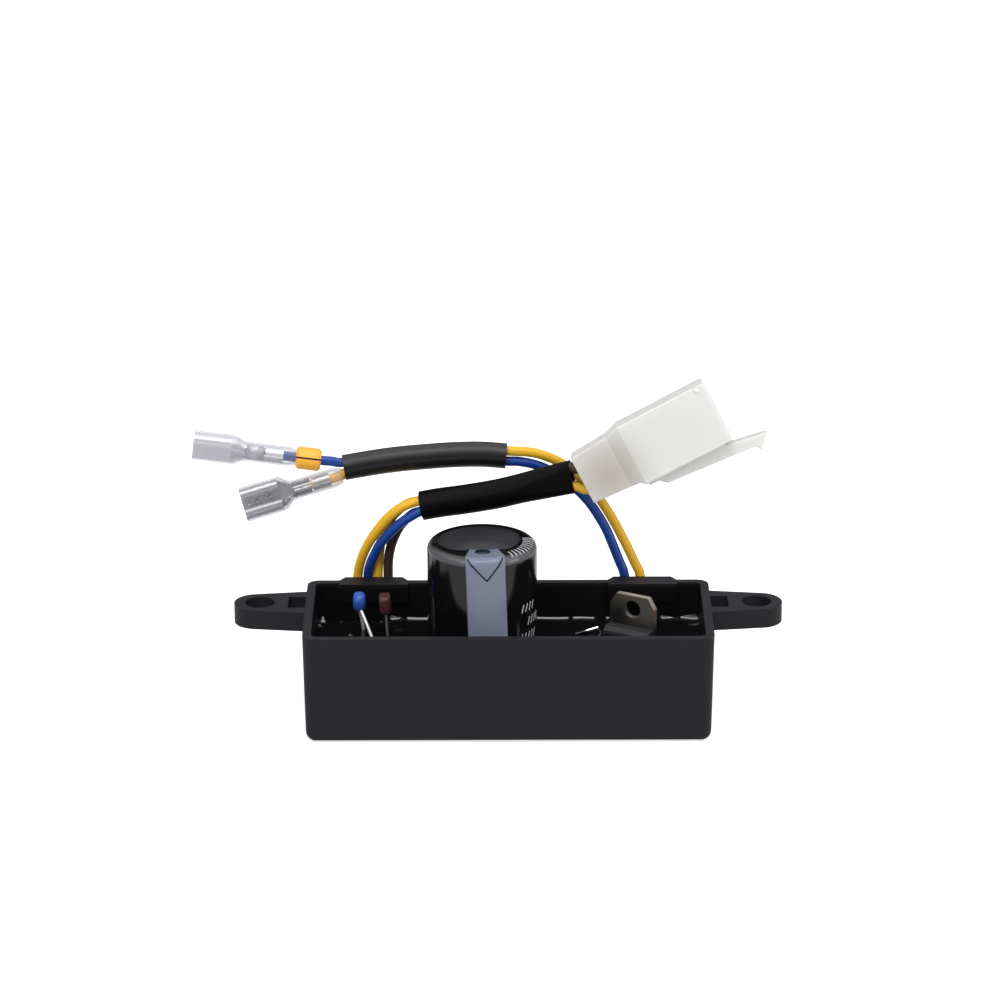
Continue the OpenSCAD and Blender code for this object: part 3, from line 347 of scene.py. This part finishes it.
# Place in the plug, and reach, of a painted shade where what is inside would show through
PLUG_SHADE = (5, -6.2, -1.5)
PLUG_SHADE_REACH = 12
spot(NYLON, srgb(184, 178, 170), place(*PLUG) @ Vector(PLUG_SHADE), PLUG_SHADE_REACH)
EJECTOR = surface("ejector mark", srgb(240, 240, 240), 0.3, tone=0.01)
ORANGE = surface("orange marker", srgb(248, 178, 56), 0.42, tone=0.03)
CLEAR = surface("clear cover", srgb(198, 198, 208), 0.14, spread=0.05, grain=300, bump=0.05, tone=0.01)
clear_film(CLEAR, facing=0.1, edge=0.8)


# Shapes: facets of a round wire, the angle from which an edge is sharp, and the bevels of sharp CAD edges
WIRE_FACETS = 6
SHARP = math.radians(40)
WELD = 1e-6
BEVEL_STEPS = 2
BEVEL_FROM = math.radians(35)


def curve_points(points, steps=6):
    """A smooth line through the given points."""
    p = [Vector(q) for q in points]
    out = []
    for i in range(len(p) - 1):
        a, b, c, d = p[max(i - 1, 0)], p[i], p[i + 1], p[min(i + 2, len(p) - 1)]
        for k in range(steps):
            t = k / steps
            out.append(0.5 * (2 * b + (c - a) * t + (2 * a - 5 * b + 4 * c - d) * t * t
                              + (3 * b - a - 3 * c + d) * t ** 3))
    out.append(p[-1])
    return out


def spaced(a, b, n):
    """Even steps from a to b, n of them."""
    return [a + (b - a) * i / n for i in range(n + 1)]


def between(points, at):
    """Height at a place on a line of (place, height) points."""
    for (a, p), (b, q) in zip(points, points[1:]):
        if at <= b:
            return p + (q - p) * max(0, at - a) / (b - a)
    return points[-1][1]


def line_object(name, lines, r, material):
    """Round wire along one or more lines."""
    data = bpy.data.curves.new(name, "CURVE")
    data.dimensions = "3D"
    data.bevel_depth = r * MM
    data.bevel_resolution = WIRE_FACETS
    data.use_fill_caps = True
    for line in lines:
        s = data.splines.new("POLY")
        s.points.add(len(line) - 1)
        for point, q in zip(s.points, line):
            point.co = (*(q * MM), 1)
    o = bpy.data.objects.new(name, data)
    bpy.context.collection.objects.link(o)
    data.materials.append(material)
    return o


def mesh_object(name, verts, faces, material):
    """Smooth mesh with sharp edges where faces meet steeply."""
    data = bpy.data.meshes.new(name)
    data.from_pydata([tuple(Vector(v) * MM) for v in verts], [], faces)
    data.validate()
    b = bmesh.new()
    b.from_mesh(data)
    bmesh.ops.recalc_face_normals(b, faces=b.faces)
    b.to_mesh(data)
    b.free()
    data.shade_smooth()
    data.set_sharp_from_angle(angle=SHARP)
    o = bpy.data.objects.new(name, data)
    bpy.context.collection.objects.link(o)
    data.materials.append(material)
    return o


def rings_mesh(name, rings, material, closed=False):
    """Skin over rings of equal length. closed joins the last ring to the first."""
    n = len(rings[0])
    m = len(rings)
    faces = []
    for i in range(m if closed else m - 1):
        j = (i + 1) % m
        for k in range(n):
            h = (k + 1) % n
            faces.append((i * n + k, i * n + h, j * n + h, j * n + k))
    if not closed:
        faces += [tuple(range(n)), tuple(range((m - 1) * n, m * n))]
    return mesh_object(name, [v for r in rings for v in r], faces, material)


def grid_faces(w, h, first=0):
    """Faces of a grid of w by h points."""
    corners = [first + j * w + i for j in range(h - 1) for i in range(w - 1)]
    return [(k, k + 1, k + w + 1, k + w) for k in corners]


def circle(sides):
    """Directions around a circle."""
    return [(math.cos(t), math.sin(t)) for t in (2 * math.pi * k / sides for k in range(sides))]


def rounded(a, b, r, steps=7):
    """Outline of a rounded rectangle by half sizes and corner radius."""
    out = []
    for c in range(4):
        x = 1 if c in (0, 3) else -1
        y = 1 if c < 2 else -1
        for s in range(steps):
            t = math.radians(90 * c + 90 * s / (steps - 1))
            out.append((x * (a - r) + r * math.cos(t), y * (b - r) + r * math.sin(t)))
    return out


def frames(line, up):
    """Place, upright and side at each point of a line."""
    out = []
    n = Vector(up)
    for i, p in enumerate(line):
        t = (line[min(i + 1, len(line) - 1)] - line[max(i - 1, 0)]).normalized()
        n = (n - n.dot(t) * t).normalized()
        out.append((p, n, t.cross(n)))
    return out


def sleeve(name, line, up, section, material):
    """Hollow sleeve along a line. section gives the bore at a share of the way: half sizes and corner."""
    path = frames(curve_points(line), up)
    last = len(path) - 1
    rings = []
    for grow, order in ((SLEEVE_WALL, range(last + 1)), (0, range(last, -1, -1))):
        for i in order:
            p, n, b = path[i]
            half_up, half_side, corner = (v + grow for v in section(i / last))
            rings.append([p + n * x + b * y for x, y in rounded(half_up, half_side, corner)])
    return rings_mesh(name, rings, material, closed=True)


def thicken(o, thickness):
    """Gives a sheet a thickness, half of it on each side."""
    thick = o.modifiers.new("thick", "SOLIDIFY")
    thick.thickness = thickness * MM
    thick.offset = 0
    return o


def thin_disc(name, ring, material):
    """Thin flat piece inside one ring of points."""
    return thicken(mesh_object(name, ring, [tuple(range(len(ring)))], material), INK_T)


def keep(o, nodes):
    """Puts a piece on the part's one body and hides the CAD nodes that it stands for."""
    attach(o, "root")
    if nodes:
        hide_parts(*nodes)
    return o


def soften(node, width):
    """Small bevels on a CAD node's sharp edges."""
    o = NODES[node]
    weld = o.modifiers.new("weld", "WELD")
    weld.merge_threshold = WELD
    bevel = o.modifiers.new("bevel", "BEVEL")
    bevel.width = width * MM
    bevel.segments = BEVEL_STEPS
    bevel.limit_method = "ANGLE"
    bevel.angle_limit = BEVEL_FROM


# CAD nodes that are shown as they are
SHOWN = {
    "housing": HOUSING, "circuit_board": BOARD, "capacitor_can": ALUMINIUM, "capacitor_bung": BUNG,
    "capacitor_pins": TINNED, "transistor_tab": TAB, "transistor_body": MOULD,
    "transistor_leads": TINNED, "blue_capacitor": BLUE_DIP, "rectifier_diodes": MOULD,
    "diode_leads": TINNED, "resistors": TAN, "resistor_leads": LOOP, "plug_housing": NYLON,
    "plug_terminals": TINNED, "wire_marker": ORANGE, "upper_terminal": PAINTED_LIGHT_SPADE,
    "lower_terminal": SPADE}
BEVELS = {"transistor_tab": 0.12, "transistor_body": 0.2, "plug_housing": 0.3, "plug_terminals": 0.1}
for node, material in SHOWN.items():
    NODES[node].data.materials.clear()
    NODES[node].data.materials.append(material)
for node, width in BEVELS.items():
    soften(node, width)

# Black sleeves: the one at the plug goes flat over the last part of its line
FLAT_FROM = 5 / 7
BORE_OPEN = (2.6, 2.6, 2.59)
BORE_PLUG = (2.98, 2.13, 1.1)
BRUSH_BORE = (2.2, 2.2, 2.19)


def plug_bore(share):
    """Round at first, and flat at the plug."""
    flat = max(0, (share - FLAT_FROM) / (1 - FLAT_FROM))
    return tuple(a + (b - a) * flat for a, b in zip(BORE_OPEN, BORE_PLUG))


def brush_bore(share):
    """Round all along."""
    return BRUSH_BORE


plug_sleeve = keep(sleeve("plug_sleeve_look", PLUG_LINE, PLUG_UP, plug_bore, MATT_PVC),
                   ["plug_sleeve"])
brush_sleeve = keep(sleeve("brush_sleeve_look", BRUSH_LINE, BRUSH_UP, brush_bore, GLOSSY_PVC),
                    ["brush_sleeve"])

# Clear covers: station, half width and half height of the bore
COVER = [(0, 1.3, 1.3), (0.4, 1.36, 1.36), (0.8, 1.45, 1.45), (1.4, 1.58, 1.58), (2, 1.65, 1.65),
         (4, 1.66, 1.66), (6.2, 1.65, 1.65), (8.2, 1.63, 1.63), (9.8, 1.64, 1.65), (10.4, 1.7, 1.65),
         (10.9, 1.87, 1.65), (11.5, 2.35, 1.65), (12.1, 2.86, 1.65), (12.6, 3.12, 1.65),
         (13.2, 3.22, 1.65), (16, 3.22, 1.65), (21, 3.22, 1.65)]
# Room inside the bore, and how much its corners are short of a half circle
COVER_ROOM = 0.02
CORNER_SHORT = 0.01


def cover(name, at, turn):
    """Hollow cover over a push-on terminal."""
    m = place(at, turn)
    rings = []
    for grow, order in ((COVER_WALL, COVER), (COVER_ROOM, COVER[::-1])):
        for x, a, b in order:
            corner = min(a, b) + grow - CORNER_SHORT
            rings.append([m @ Vector((x, y, z)) for y, z in rounded(a + grow, b + grow, corner)])
    return rings_mesh(name, rings, CLEAR, closed=True)


upper_cover = keep(cover("upper_cover_look", *UPPER), ["upper_cover"])
lower_cover = keep(cover("lower_cover_look", *LOWER), ["lower_cover"])

# Sheet of the push-on terminals that shows in the covers: a barrel about the wire's end and a hollow neck.
# The barrel has two ends, a radius and the half angle that it spans
BARREL = (6.6, 10.2)
BARREL_R = 1.52
BARREL_SPAN = math.radians(115)
# Stations of the neck: place, half width, lowest height and rise to the sides
NECK = [(10.2, 1.4, -1.45, 0.5), (10.9, 1.6, -1.45, 0.42), (11.7, 2.15, -1.44, 0.26),
        (12.5, 2.6, -1.43, 0.12), (13.2, 2.85, -1.42, 0.06)]
# Bumps on the base of the lower socket: their places, radius and height
BUMPS = [(15.1, 0.1), (17.9, 0.2), (19.7, 0.3)]
BUMP_R = 0.5
BUMP_H = 0.45
SOCKET_BASE = -1.05
SHEET_T = 0.15
SHEET_COLUMNS = 16
BUMP_RINGS = 6


def bump_point(at, share, angle):
    """A point of a bump, at a share of its radius."""
    x = at[0] + BUMP_R * share * math.cos(angle)
    y = at[1] + BUMP_R * share * math.sin(angle)
    return x, y, SOCKET_BASE + BUMP_H * (1 - share * share)


def terminal_sheet(name, at, turn, bumps, material):
    """Barrel, neck and base bumps as one sheet."""
    m = place(at, turn)
    width = SHEET_COLUMNS + 1
    verts = [(x, BARREL_R * math.sin(t), -BARREL_R * math.cos(t)) for x in BARREL
             for t in spaced(-BARREL_SPAN, BARREL_SPAN, SHEET_COLUMNS)]
    faces = grid_faces(width, len(BARREL)) + grid_faces(width, len(NECK), len(verts))
    verts += [(x, y, low + rise * y * y) for x, half, low, rise in NECK
              for y in spaced(-half, half, SHEET_COLUMNS)]
    for bump in bumps:
        first = len(verts)
        verts += [bump_point(bump, share, t) for share in spaced(0, 1, BUMP_RINGS)[1:]
                  for t in spaced(0, 2 * math.pi, SHEET_COLUMNS)]
        faces += grid_faces(width, BUMP_RINGS, first)
        faces.append(tuple(range(first, first + SHEET_COLUMNS)))
    return thicken(mesh_object(name, [m @ Vector(v) for v in verts], faces, material), SHEET_T)


# The upper sheet's metal has painted light
upper_sheet = keep(terminal_sheet("upper_sheet", *UPPER, [], PAINTED_LIGHT_CRIMP), [])
lower_sheet = keep(terminal_sheet("lower_sheet", *LOWER, BUMPS, CRIMP), [])

# Round ejector mark in a corner of the plug's near side
MARK = (28.7, -6.22, 5.6)
MARK_R = 0.55
MARK_SIDES = 32


def plug_mark():
    m = place(*PLUG)
    ring = [m @ (Vector(MARK) + MARK_R * Vector((x, 0, z))) for x, z in circle(MARK_SIDES)]
    return thin_disc("plug_mark", ring, EJECTOR)


mark = keep(plug_mark(), [])

# Wires
PLUG_PIECES = [plug_sleeve, NODES["plug_housing"], NODES["plug_terminals"], mark]
UPPER_PIECES = [brush_sleeve, NODES["wire_marker"], NODES["upper_terminal"], upper_cover, upper_sheet]
LOWER_PIECES = [brush_sleeve, NODES["lower_terminal"], lower_cover, lower_sheet]
for name, material, slot, far_end, pieces in (
        ("yellow_wire_1", YELLOW, "yellow_pvc", "plug", PLUG_PIECES),
        ("blue_wire_1", BLUE, "blue_pvc", "plug", PLUG_PIECES),
        ("yellow_wire_2", YELLOW, "yellow_pvc", "plug", PLUG_PIECES),
        ("brown_wire", BROWN, "brown_pvc", "plug", PLUG_PIECES),
        ("blue_wire_2", BLUE, "blue_pvc", "connector", UPPER_PIECES),
        ("yellow_wire_3", YELLOW, "yellow_pvc", "connector", LOWER_PIECES)):
    along, points = FREE[name]
    line = curve_points([(along, y, z) for y, z in START] + points)
    wire = keep(line_object(name + "_look", [line], WIRE_R, material), [name])

# Potting: it climbs the rear wall by a share that changes along the box, and small lumps stand in it.
# REAR_CLIMB has places along the box with that share, LUMPS have a place, height and radius each
REAR_CLIMB = [(-39, 0.1), (-24.6, 0.1), (-23.9, 2), (-21.1, 0.4), (-20.6, 1.2), (-16, 1.1), (8, 1.1),
              (12.4, 1.1), (12.8, 0.1), (13.2, 1.1), (17.6, 1.1), (18.2, 0.1), (19.6, 0.1), (20, 1.2),
              (20.7, 1.2), (21.1, 0.1), (30.6, 0.1), (31.3, 1.6), (34.6, 0.5), (35.4, 1.1), (38.6, 2.6)]
LUMPS = [(-33.9, 13.4, 0.5, 0.6), (-31.2, 13.7, 0.5, 0.6), (-31.9, 6.5, 0.35, 0.45),
         (-28.1, 13.8, 0.4, 0.5), (-25.9, 13.4, 0.5, 0.6), (-38.2, 11.2, 0.6, 0.8),
         (-37.8, 13.8, 1.3, 0.9), (-22.2, 9.8, 0.5, 1.4)]
# Climbs at the rear wall, the other walls and the capacitor: height, and length over which it dies out
REAR = (0.6, 0.5)
SIDES = (0.5, 0.6)
CAN = (0.7, 0.5)
# Unevenness of the surface: height, scale and place in the noise
WAVE_H = 0.1
WAVE_SCALE = 0.3
WAVE_PLACE = 1.7
# Depth of the modelled potting under its surface, and points of that surface along and across the box
SKIRT = 1
POTTING_GRID = (320, 150)


def climb(size, away):
    """Height of a climb at a distance from what it climbs."""
    height, length = size
    return height * math.exp(-away / length)


def potting_height(x, y):
    """Height of the potting's surface at a place in the box."""
    rear = climb(REAR, CAVITY[1] - y) * between(REAR_CLIMB, x)
    sides = climb(SIDES, CAVITY[0] - abs(x)) + climb(SIDES, y + CAVITY[1])
    can = climb(CAN, max(0, math.hypot(x - CAP_AXIS[0], y - CAP_AXIS[1]) - CAP_R))
    lumps = sum(h * math.exp(-((x - u) ** 2 + (y - v) ** 2) / r ** 2) for u, v, h, r in LUMPS)
    wave = WAVE_H * noise.noise((x * WAVE_SCALE, y * WAVE_SCALE, WAVE_PLACE))
    return POTTING_Z + max(rear, sides) + can + lumps + wave


def skirt(verts, faces, border):
    """Closes a sheet of potting below: sides down from its border, and a bottom."""
    first = len(verts)
    n = len(border)
    verts += [(*verts[i][:2], POTTING_Z - SKIRT) for i in border]
    faces += [(border[k - 1], border[k], first + k, first + (k - 1) % n) for k in range(n)]
    faces.append(tuple(range(first, first + n)))


def grid_border(w, h, first=0):
    """Points around the edge of a grid of w by h points."""
    last = (h - 1) * w
    right = last + w - 1
    around = [*range(w - 1), *range(w - 1, right, w), *range(right, last, -1), *range(last, 0, -w)]
    return [first + i for i in around]


def potting_look():
    """Potting in the box and in the slots of the two ducts."""
    w, h = POTTING_GRID
    verts = [(x, y, potting_height(x, y)) for y in spaced(-CAVITY[1], CAVITY[1], h - 1)
             for x in spaced(-CAVITY[0], CAVITY[0], w - 1)]
    faces = grid_faces(w, h)
    skirt(verts, faces, grid_border(w, h))
    for x in (-DUCT_X, DUCT_X):
        k = len(verts)
        verts += [(x + a * SLOT[0], SLOT[1] + b * SLOT[2], POTTING_Z) for b in (-1, 1) for a in (-1, 1)]
        faces += grid_faces(2, 2, k)
        skirt(verts, faces, grid_border(2, 2, k))
    return mesh_object("potting_look", verts, faces, POTTING)


keep(potting_look(), ["potting"])

# Capacitor: lengths along its profile, up the side, over the shoulder and inwards along the lip
SIDE = CAP_H - CAP_SHOULDER
BEND = CAP_SHOULDER * math.pi / 2
# Radius of the lip's ragged inner edge by the angle from the front towards the right
LIP_EDGE = [(-180, 8.8), (-90, 9), (-55, 8), (-35, 6.4), (-27, 5.3), (30, 5.1), (38, 6.2), (60, 7.1),
            (90, 7.6), (130, 8.6), (180, 8.8)]
# Raggedness of that edge: height, scales in the noise and place there
RAGGED = 0.18
RAGGED_SCALE = (3, 0.05)
RAGGED_PLACE = 2.3


def lip_length(angle):
    """Length along the profile where the lip ends at an angle."""
    around = math.cos(math.radians(angle)) * RAGGED_SCALE[0]
    ragged = RAGGED * noise.noise((around, angle * RAGGED_SCALE[1], RAGGED_PLACE))
    r = between(LIP_EDGE, angle) + ragged
    return SIDE + BEND + CAP_R - CAP_SHOULDER - r


def cap_profile(s):
    """Radius and height at a length along the profile, and the way out of the surface there."""
    if s <= SIDE:
        return CAP_R, s, 1, 0
    if s <= SIDE + BEND:
        t = (s - SIDE) / CAP_SHOULDER
        return (CAP_R + CAP_SHOULDER * (math.cos(t) - 1), SIDE + CAP_SHOULDER * math.sin(t),
                math.cos(t), math.sin(t))
    return CAP_R - CAP_SHOULDER - (s - SIDE - BEND), CAP_H, 0, 1


def cap_point(angle, s, lift=0.0):
    """Place on the sleeve at an angle and a length along its profile."""
    r, z, out, up = cap_profile(s)
    a = math.radians(angle)
    r += lift * out
    return CAP_AXIS[0] + r * math.sin(a), CAP_AXIS[1] - r * math.cos(a), CAP_BASE + z + lift * up


# Rows of the sleeve's mesh up the side, over the shoulder, along the lip and inside, and its columns
SIDE_ROWS = 30
BEND_ROWS = 8
LIP_ROWS = 14
INSIDE_ROWS = 4
CAP_COLUMNS = 180


def cap_sleeve():
    """Shrink film up the side, over the shoulder and along the lip, and back inside."""
    angles = spaced(-180, 180, CAP_COLUMNS)[:-1]
    shares = spaced(0, 1, LIP_ROWS)
    flat = SIDE + BEND
    outside = spaced(0, SIDE, SIDE_ROWS) + spaced(SIDE, flat, BEND_ROWS)[1:]
    rings = [[cap_point(a, s) for a in angles] for s in outside]
    rings += [[cap_point(a, flat + f * (lip_length(a) - flat)) for a in angles] for f in shares[1:]]
    rings += [[cap_point(a, flat + f * (lip_length(a) - flat), -CAP_SKIN / 2) for a in angles]
              for f in shares[::-1]]
    rings += [[cap_point(a, s, -CAP_SKIN / 2) for a in angles] for s in spaced(SIDE, 0, INSIDE_ROWS)]
    return rings_mesh("capacitor_sleeve_look", rings, SHRINK, closed=True)


PATCH_COLUMNS = 24
STROKE_STEPS = 16


def cap_patch(name, width, lengths, lift, material):
    """A patch of the sleeve's surface. width gives its two angles at a length."""
    verts = [cap_point(a, s, lift) for s in lengths for a in spaced(*width(s), PATCH_COLUMNS)]
    faces = grid_faces(PATCH_COLUMNS + 1, len(lengths))
    return thicken(mesh_object(name, verts, faces, material), INK_T)


def cap_strokes(name, strokes, half, lift, material):
    """Thin straight marks on the sleeve, each from one (angle, length) to another, with a half width."""
    verts = []
    faces = []
    for (a0, s0), (a1, s1) in strokes:
        first = len(verts)
        turn = math.atan2(s1 - s0, math.radians(a1 - a0) * CAP_R)
        for f in spaced(0, 1, STROKE_STEPS):
            a, s = a0 + (a1 - a0) * f, s0 + (s1 - s0) * f
            for side in (-half, half):
                step = math.degrees(-math.sin(turn) * side / cap_profile(s)[0])
                verts.append(cap_point(a + step, s + math.cos(turn) * side, lift))
        faces += grid_faces(2, STROKE_STEPS + 1, first)
    return thicken(mesh_object(name, verts, faces, material), INK_T)


# Grey stripe: its angle, half width on the side and at the lip's edge, lean, start, rows and lift
STRIPE_MID = 4
STRIPE_HALF = 3.94
STRIPE_END = 2.75
STRIPE_LEAN = 0.17
STRIPE_START = 5
STRIPE_ROWS = 30
STRIPE_LIFT = 0.02


def stripe_width(s):
    """The grey stripe leans a little, and narrows along the lip."""
    flat = max(0, s - SIDE - BEND) / (lip_length(0) - SIDE - BEND)
    half = STRIPE_HALF + (STRIPE_END - STRIPE_HALF) * flat
    spread = math.degrees(math.asin(half / cap_profile(s)[0]))
    mid = STRIPE_MID + STRIPE_LEAN * max(0, SIDE - s)
    return mid - spread, mid + spread


# Disc under the lip: its radius, depth under the film and sides
DISC_R = 9.2
DISC_DROP = 0.03
DISC_SIDES = 64
# Round mark on the stripe's end: its place from the capacitor's axis, half sizes, lift and sides
ROUND_MARK = (0.15, -6.3)
ROUND_MARK_HALF = (1.6, 1.25)
ROUND_MARK_LIFT = 0.05
ROUND_MARK_SIDES = 40
# Chevron on the stripe and plain marks: ends of their strokes as angle and length, half width and lift
CHEVRON = [((-16.5, 30.3), (5.2, 25.8)), ((5.2, 25.8), (24.2, 30.5))]
CHEVRON_HALF = 0.15
CHEVRON_LIFT = 0.07
RIM_ANGLES = range(36, 98, 6)
RIM_STROKE = (4, -1, 1.3)
SIDE_ROW_ANGLES = {17.6: range(46, 66, 6), 14.6: range(56, 76, 6), 11.4: range(44, 72, 6)}
SIDE_STROKE = (3, 1.7)
MARK_HALF = 0.17
MARK_LIFT = 0.05


def dark_disc():
    z = CAP_BASE + CAP_H - CAP_SKIN / 2 - DISC_DROP
    ring = [(CAP_AXIS[0] + DISC_R * x, CAP_AXIS[1] + DISC_R * y, z) for x, y in circle(DISC_SIDES)]
    return thin_disc("capacitor_disc_look", ring, DISC)


def round_mark():
    middle = [a + b for a, b in zip(CAP_AXIS, ROUND_MARK)]
    z = CAP_BASE + CAP_H + ROUND_MARK_LIFT
    ring = [(middle[0] + ROUND_MARK_HALF[0] * x, middle[1] + ROUND_MARK_HALF[1] * y, z)
            for x, y in circle(ROUND_MARK_SIDES)]
    return thin_disc("round_mark", ring, INK)


def stripe():
    lengths = spaced(STRIPE_START, SIDE, STRIPE_ROWS) + spaced(SIDE, lip_length(0), STRIPE_ROWS)[1:]
    return cap_patch("stripe", stripe_width, lengths, STRIPE_LIFT, STRIPE)


def plain_marks():
    """Short slanted strokes over the shoulder and in three rows on the side, where the print is."""
    turn, low, high = RIM_STROKE
    strokes = [((a, SIDE + BEND + low), (a + turn, SIDE + BEND + high)) for a in RIM_ANGLES]
    turn, rise = SIDE_STROKE
    strokes += [((a, s), (a + turn, s + rise)) for s, angles in SIDE_ROW_ANGLES.items() for a in angles]
    return cap_strokes("plain_marks", strokes, MARK_HALF, MARK_LIFT, PRINT)


keep(cap_sleeve(), ["capacitor_sleeve"])
keep(dark_disc(), ["capacitor_disc"])
keep(stripe(), [])
keep(round_mark(), [])
keep(cap_strokes("chevron", CHEVRON, CHEVRON_HALF, CHEVRON_LIFT, INK), [])
keep(plain_marks(), [])

# Leads of the two small capacitors: places at the top and in the potting, tops, and heights on the way down
LEAD_DIP = 0.8
LEAD_MID = 9
BLUE_LEADS = [((-30.2, 9.3), (-29.3, 9.5)), ((-29.8, 7), (-27.1, 3.3))]
BLUE_TOP = 19.6
FILM_LEADS = [((-24.7, 9.7), (-24.6, 9.4)), ((-24.7, 7.1), (-24.3, 4.2))]
FILM_TOP = 18.3


def lead_lines(leads, top):
    """Lines of two leads from the body down through the potting."""
    dip = POTTING_Z - LEAD_DIP
    return [curve_points([(*a, top), (*b, dip), (*b, LEAD_MID), (*b, LEAD_END)]) for a, b in leads]


keep(line_object("blue_leads_look", lead_lines(BLUE_LEADS, BLUE_TOP), LEAD_R, LEAD),
     ["blue_capacitor_leads"])
keep(line_object("film_leads_look", lead_lines(FILM_LEADS, FILM_TOP), LEAD_R, DARK_LEAD),
     ["film_capacitor_leads"])
# Film capacitor's body: place and turn, half sizes, and the powers that square its sides and its ends
FILM_BODY = ((-24.9, 8.4, 20.4), (0, -6, 0))
FILM_HALF = (1.25, 2.1, 1.85)
FILM_SQUARE = 0.5
FILM_END = 0.4
FILM_SIDES = 32
FILM_ROWS = 16


def softened(value, power):
    """Power of a value that keeps its sign."""
    return math.copysign(abs(value) ** power, value)


def film_body():
    """Dipped body with soft corners."""
    m = place(*FILM_BODY)
    a, b, c = FILM_HALF
    rings = []
    for t in spaced(-math.pi / 2, math.pi / 2, FILM_ROWS)[1:-1]:
        z = c * softened(math.sin(t), FILM_SQUARE)
        k = math.cos(t) ** FILM_END
        rings.append([m @ Vector((a * k * softened(x, FILM_SQUARE), b * k * softened(y, FILM_SQUARE), z))
                      for x, y in circle(FILM_SIDES)])
    return rings_mesh("film_body_look", rings, MAROON_DIP)


keep(film_body(), ["film_capacitor"])

# Stage, light and camera
WORLD_LIGHT = 0.63
# A softbox overhead for glossy rays alone: the level below it, its own, and the heights of its soft edge
GLOSS_LOW = 0.2
GLOSS_HIGH = 1.9
GLOSS_EDGE = (0.4, 0.85)
# Floor: its half size, its level just under the part, its tone, and the glow that the camera sees
FLOOR_HALF = 3000
FLOOR_Z = -0.05
FLOOR_TONE = (0.86, 0.86, 0.86)
FLOOR_GLOW = 0.6
# Lamps: place and size in metres, and power in watts
LAMPS = {
    "top": ((0.05, -0.25, 1.0), (0.8, 0.45), 4.0),
    "key": ((-0.4, -0.7, 0.6), (0.5, 0.5), 1.9),
    "side": ((0.9, -0.3, 0.4), (0.4, 0.4), 2.3),
}


def by_ray(t, ray, low, high):
    """A value that is high for one kind of ray and low for the others."""
    rays = t.nodes.new("ShaderNodeLightPath")
    level = t.nodes.new("ShaderNodeMapRange")
    level.inputs["To Min"].default_value = low
    level.inputs["To Max"].default_value = high
    t.links.new(rays.outputs[ray], level.inputs["Value"])
    return level


def studio():
    """World: white to the camera, a softbox to glossy rays, and plain light to all else."""
    world = bpy.data.worlds.new("studio")
    bpy.context.scene.world = world
    world.use_nodes = True
    t = world.node_tree
    back = t.nodes["Background"]
    back.inputs["Color"].default_value = (1, 1, 1, 1)
    seen = by_ray(t, "Is Camera Ray", WORLD_LIGHT, 1)
    gloss = by_ray(t, "Is Glossy Ray", WORLD_LIGHT, GLOSS_HIGH)
    where = t.nodes.new("ShaderNodeTexCoord")
    axes = t.nodes.new("ShaderNodeSeparateXYZ")
    t.links.new(where.outputs["Generated"], axes.inputs["Vector"])
    height = t.nodes.new("ShaderNodeMapRange")
    height.interpolation_type = "SMOOTHSTEP"
    height.inputs["From Min"].default_value, height.inputs["From Max"].default_value = GLOSS_EDGE
    height.inputs["To Min"].default_value = GLOSS_LOW
    height.inputs["To Max"].default_value = GLOSS_HIGH
    t.links.new(axes.outputs["Z"], height.inputs["Value"])
    t.links.new(height.outputs["Result"], gloss.inputs["To Max"])
    t.links.new(gloss.outputs["Result"], seen.inputs["To Min"])
    t.links.new(seen.outputs["Result"], back.inputs["Strength"])


def floor():
    """Pale floor that keeps the part's shadow and looks white to the camera."""
    m = surface("pale floor", FLOOR_TONE, 0.9, tone=0.01, Specular_IOR_Level=0.0,
                Emission_Color=(1, 1, 1, 1))
    far = FLOOR_HALF
    corners = [(x, y, FLOOR_Z) for x, y in ((-far, -far), (far, -far), (far, 2 * far), (-far, 2 * far))]
    o = mesh_object("floor", corners, [(0, 1, 2, 3)], m)
    t = m.node_tree
    glow = by_ray(t, "Is Camera Ray", 0, FLOOR_GLOW)
    t.links.new(glow.outputs["Result"], t.nodes["Principled BSDF"].inputs["Emission Strength"])


def light(name, at, size, power):
    """A soft lamp that looks at the top of the box."""
    data = bpy.data.lights.new(name, "AREA")
    data.shape = "RECTANGLE"
    data.size, data.size_y = size
    data.energy = power
    o = bpy.data.objects.new(name, data)
    bpy.context.collection.objects.link(o)
    o.location = at
    aim = Vector((0, 0, HOUSING_H * MM)) - Vector(at)
    o.rotation_euler = aim.to_track_quat("-Z", "Y").to_euler()


def camera():
    """Camera that looks at the target along the photo's line of sight."""
    forward = Vector((0, math.cos(ELEVATION), -math.sin(ELEVATION)))
    level = Vector((1, 0, 0))
    upright = level.cross(forward)
    right = level * math.cos(ROLL) - upright * math.sin(ROLL)
    up = upright * math.cos(ROLL) + level * math.sin(ROLL)
    data = bpy.data.cameras.new("camera")
    data.sensor_width = SENSOR
    data.lens = LENS
    data.clip_start, data.clip_end = CLIP
    o = bpy.data.objects.new("camera", data)
    bpy.context.collection.objects.link(o)
    eye = (Vector(TARGET) - forward * DISTANCE) * MM
    o.matrix_world = Matrix.Translation(eye) @ Matrix((right, up, -forward)).transposed().to_4x4()
    bpy.context.scene.camera = o


studio()
floor()
for name, lamp in LAMPS.items():
    light(name, *lamp)
camera()
bpy.context.scene.view_settings.view_transform = "Standard"
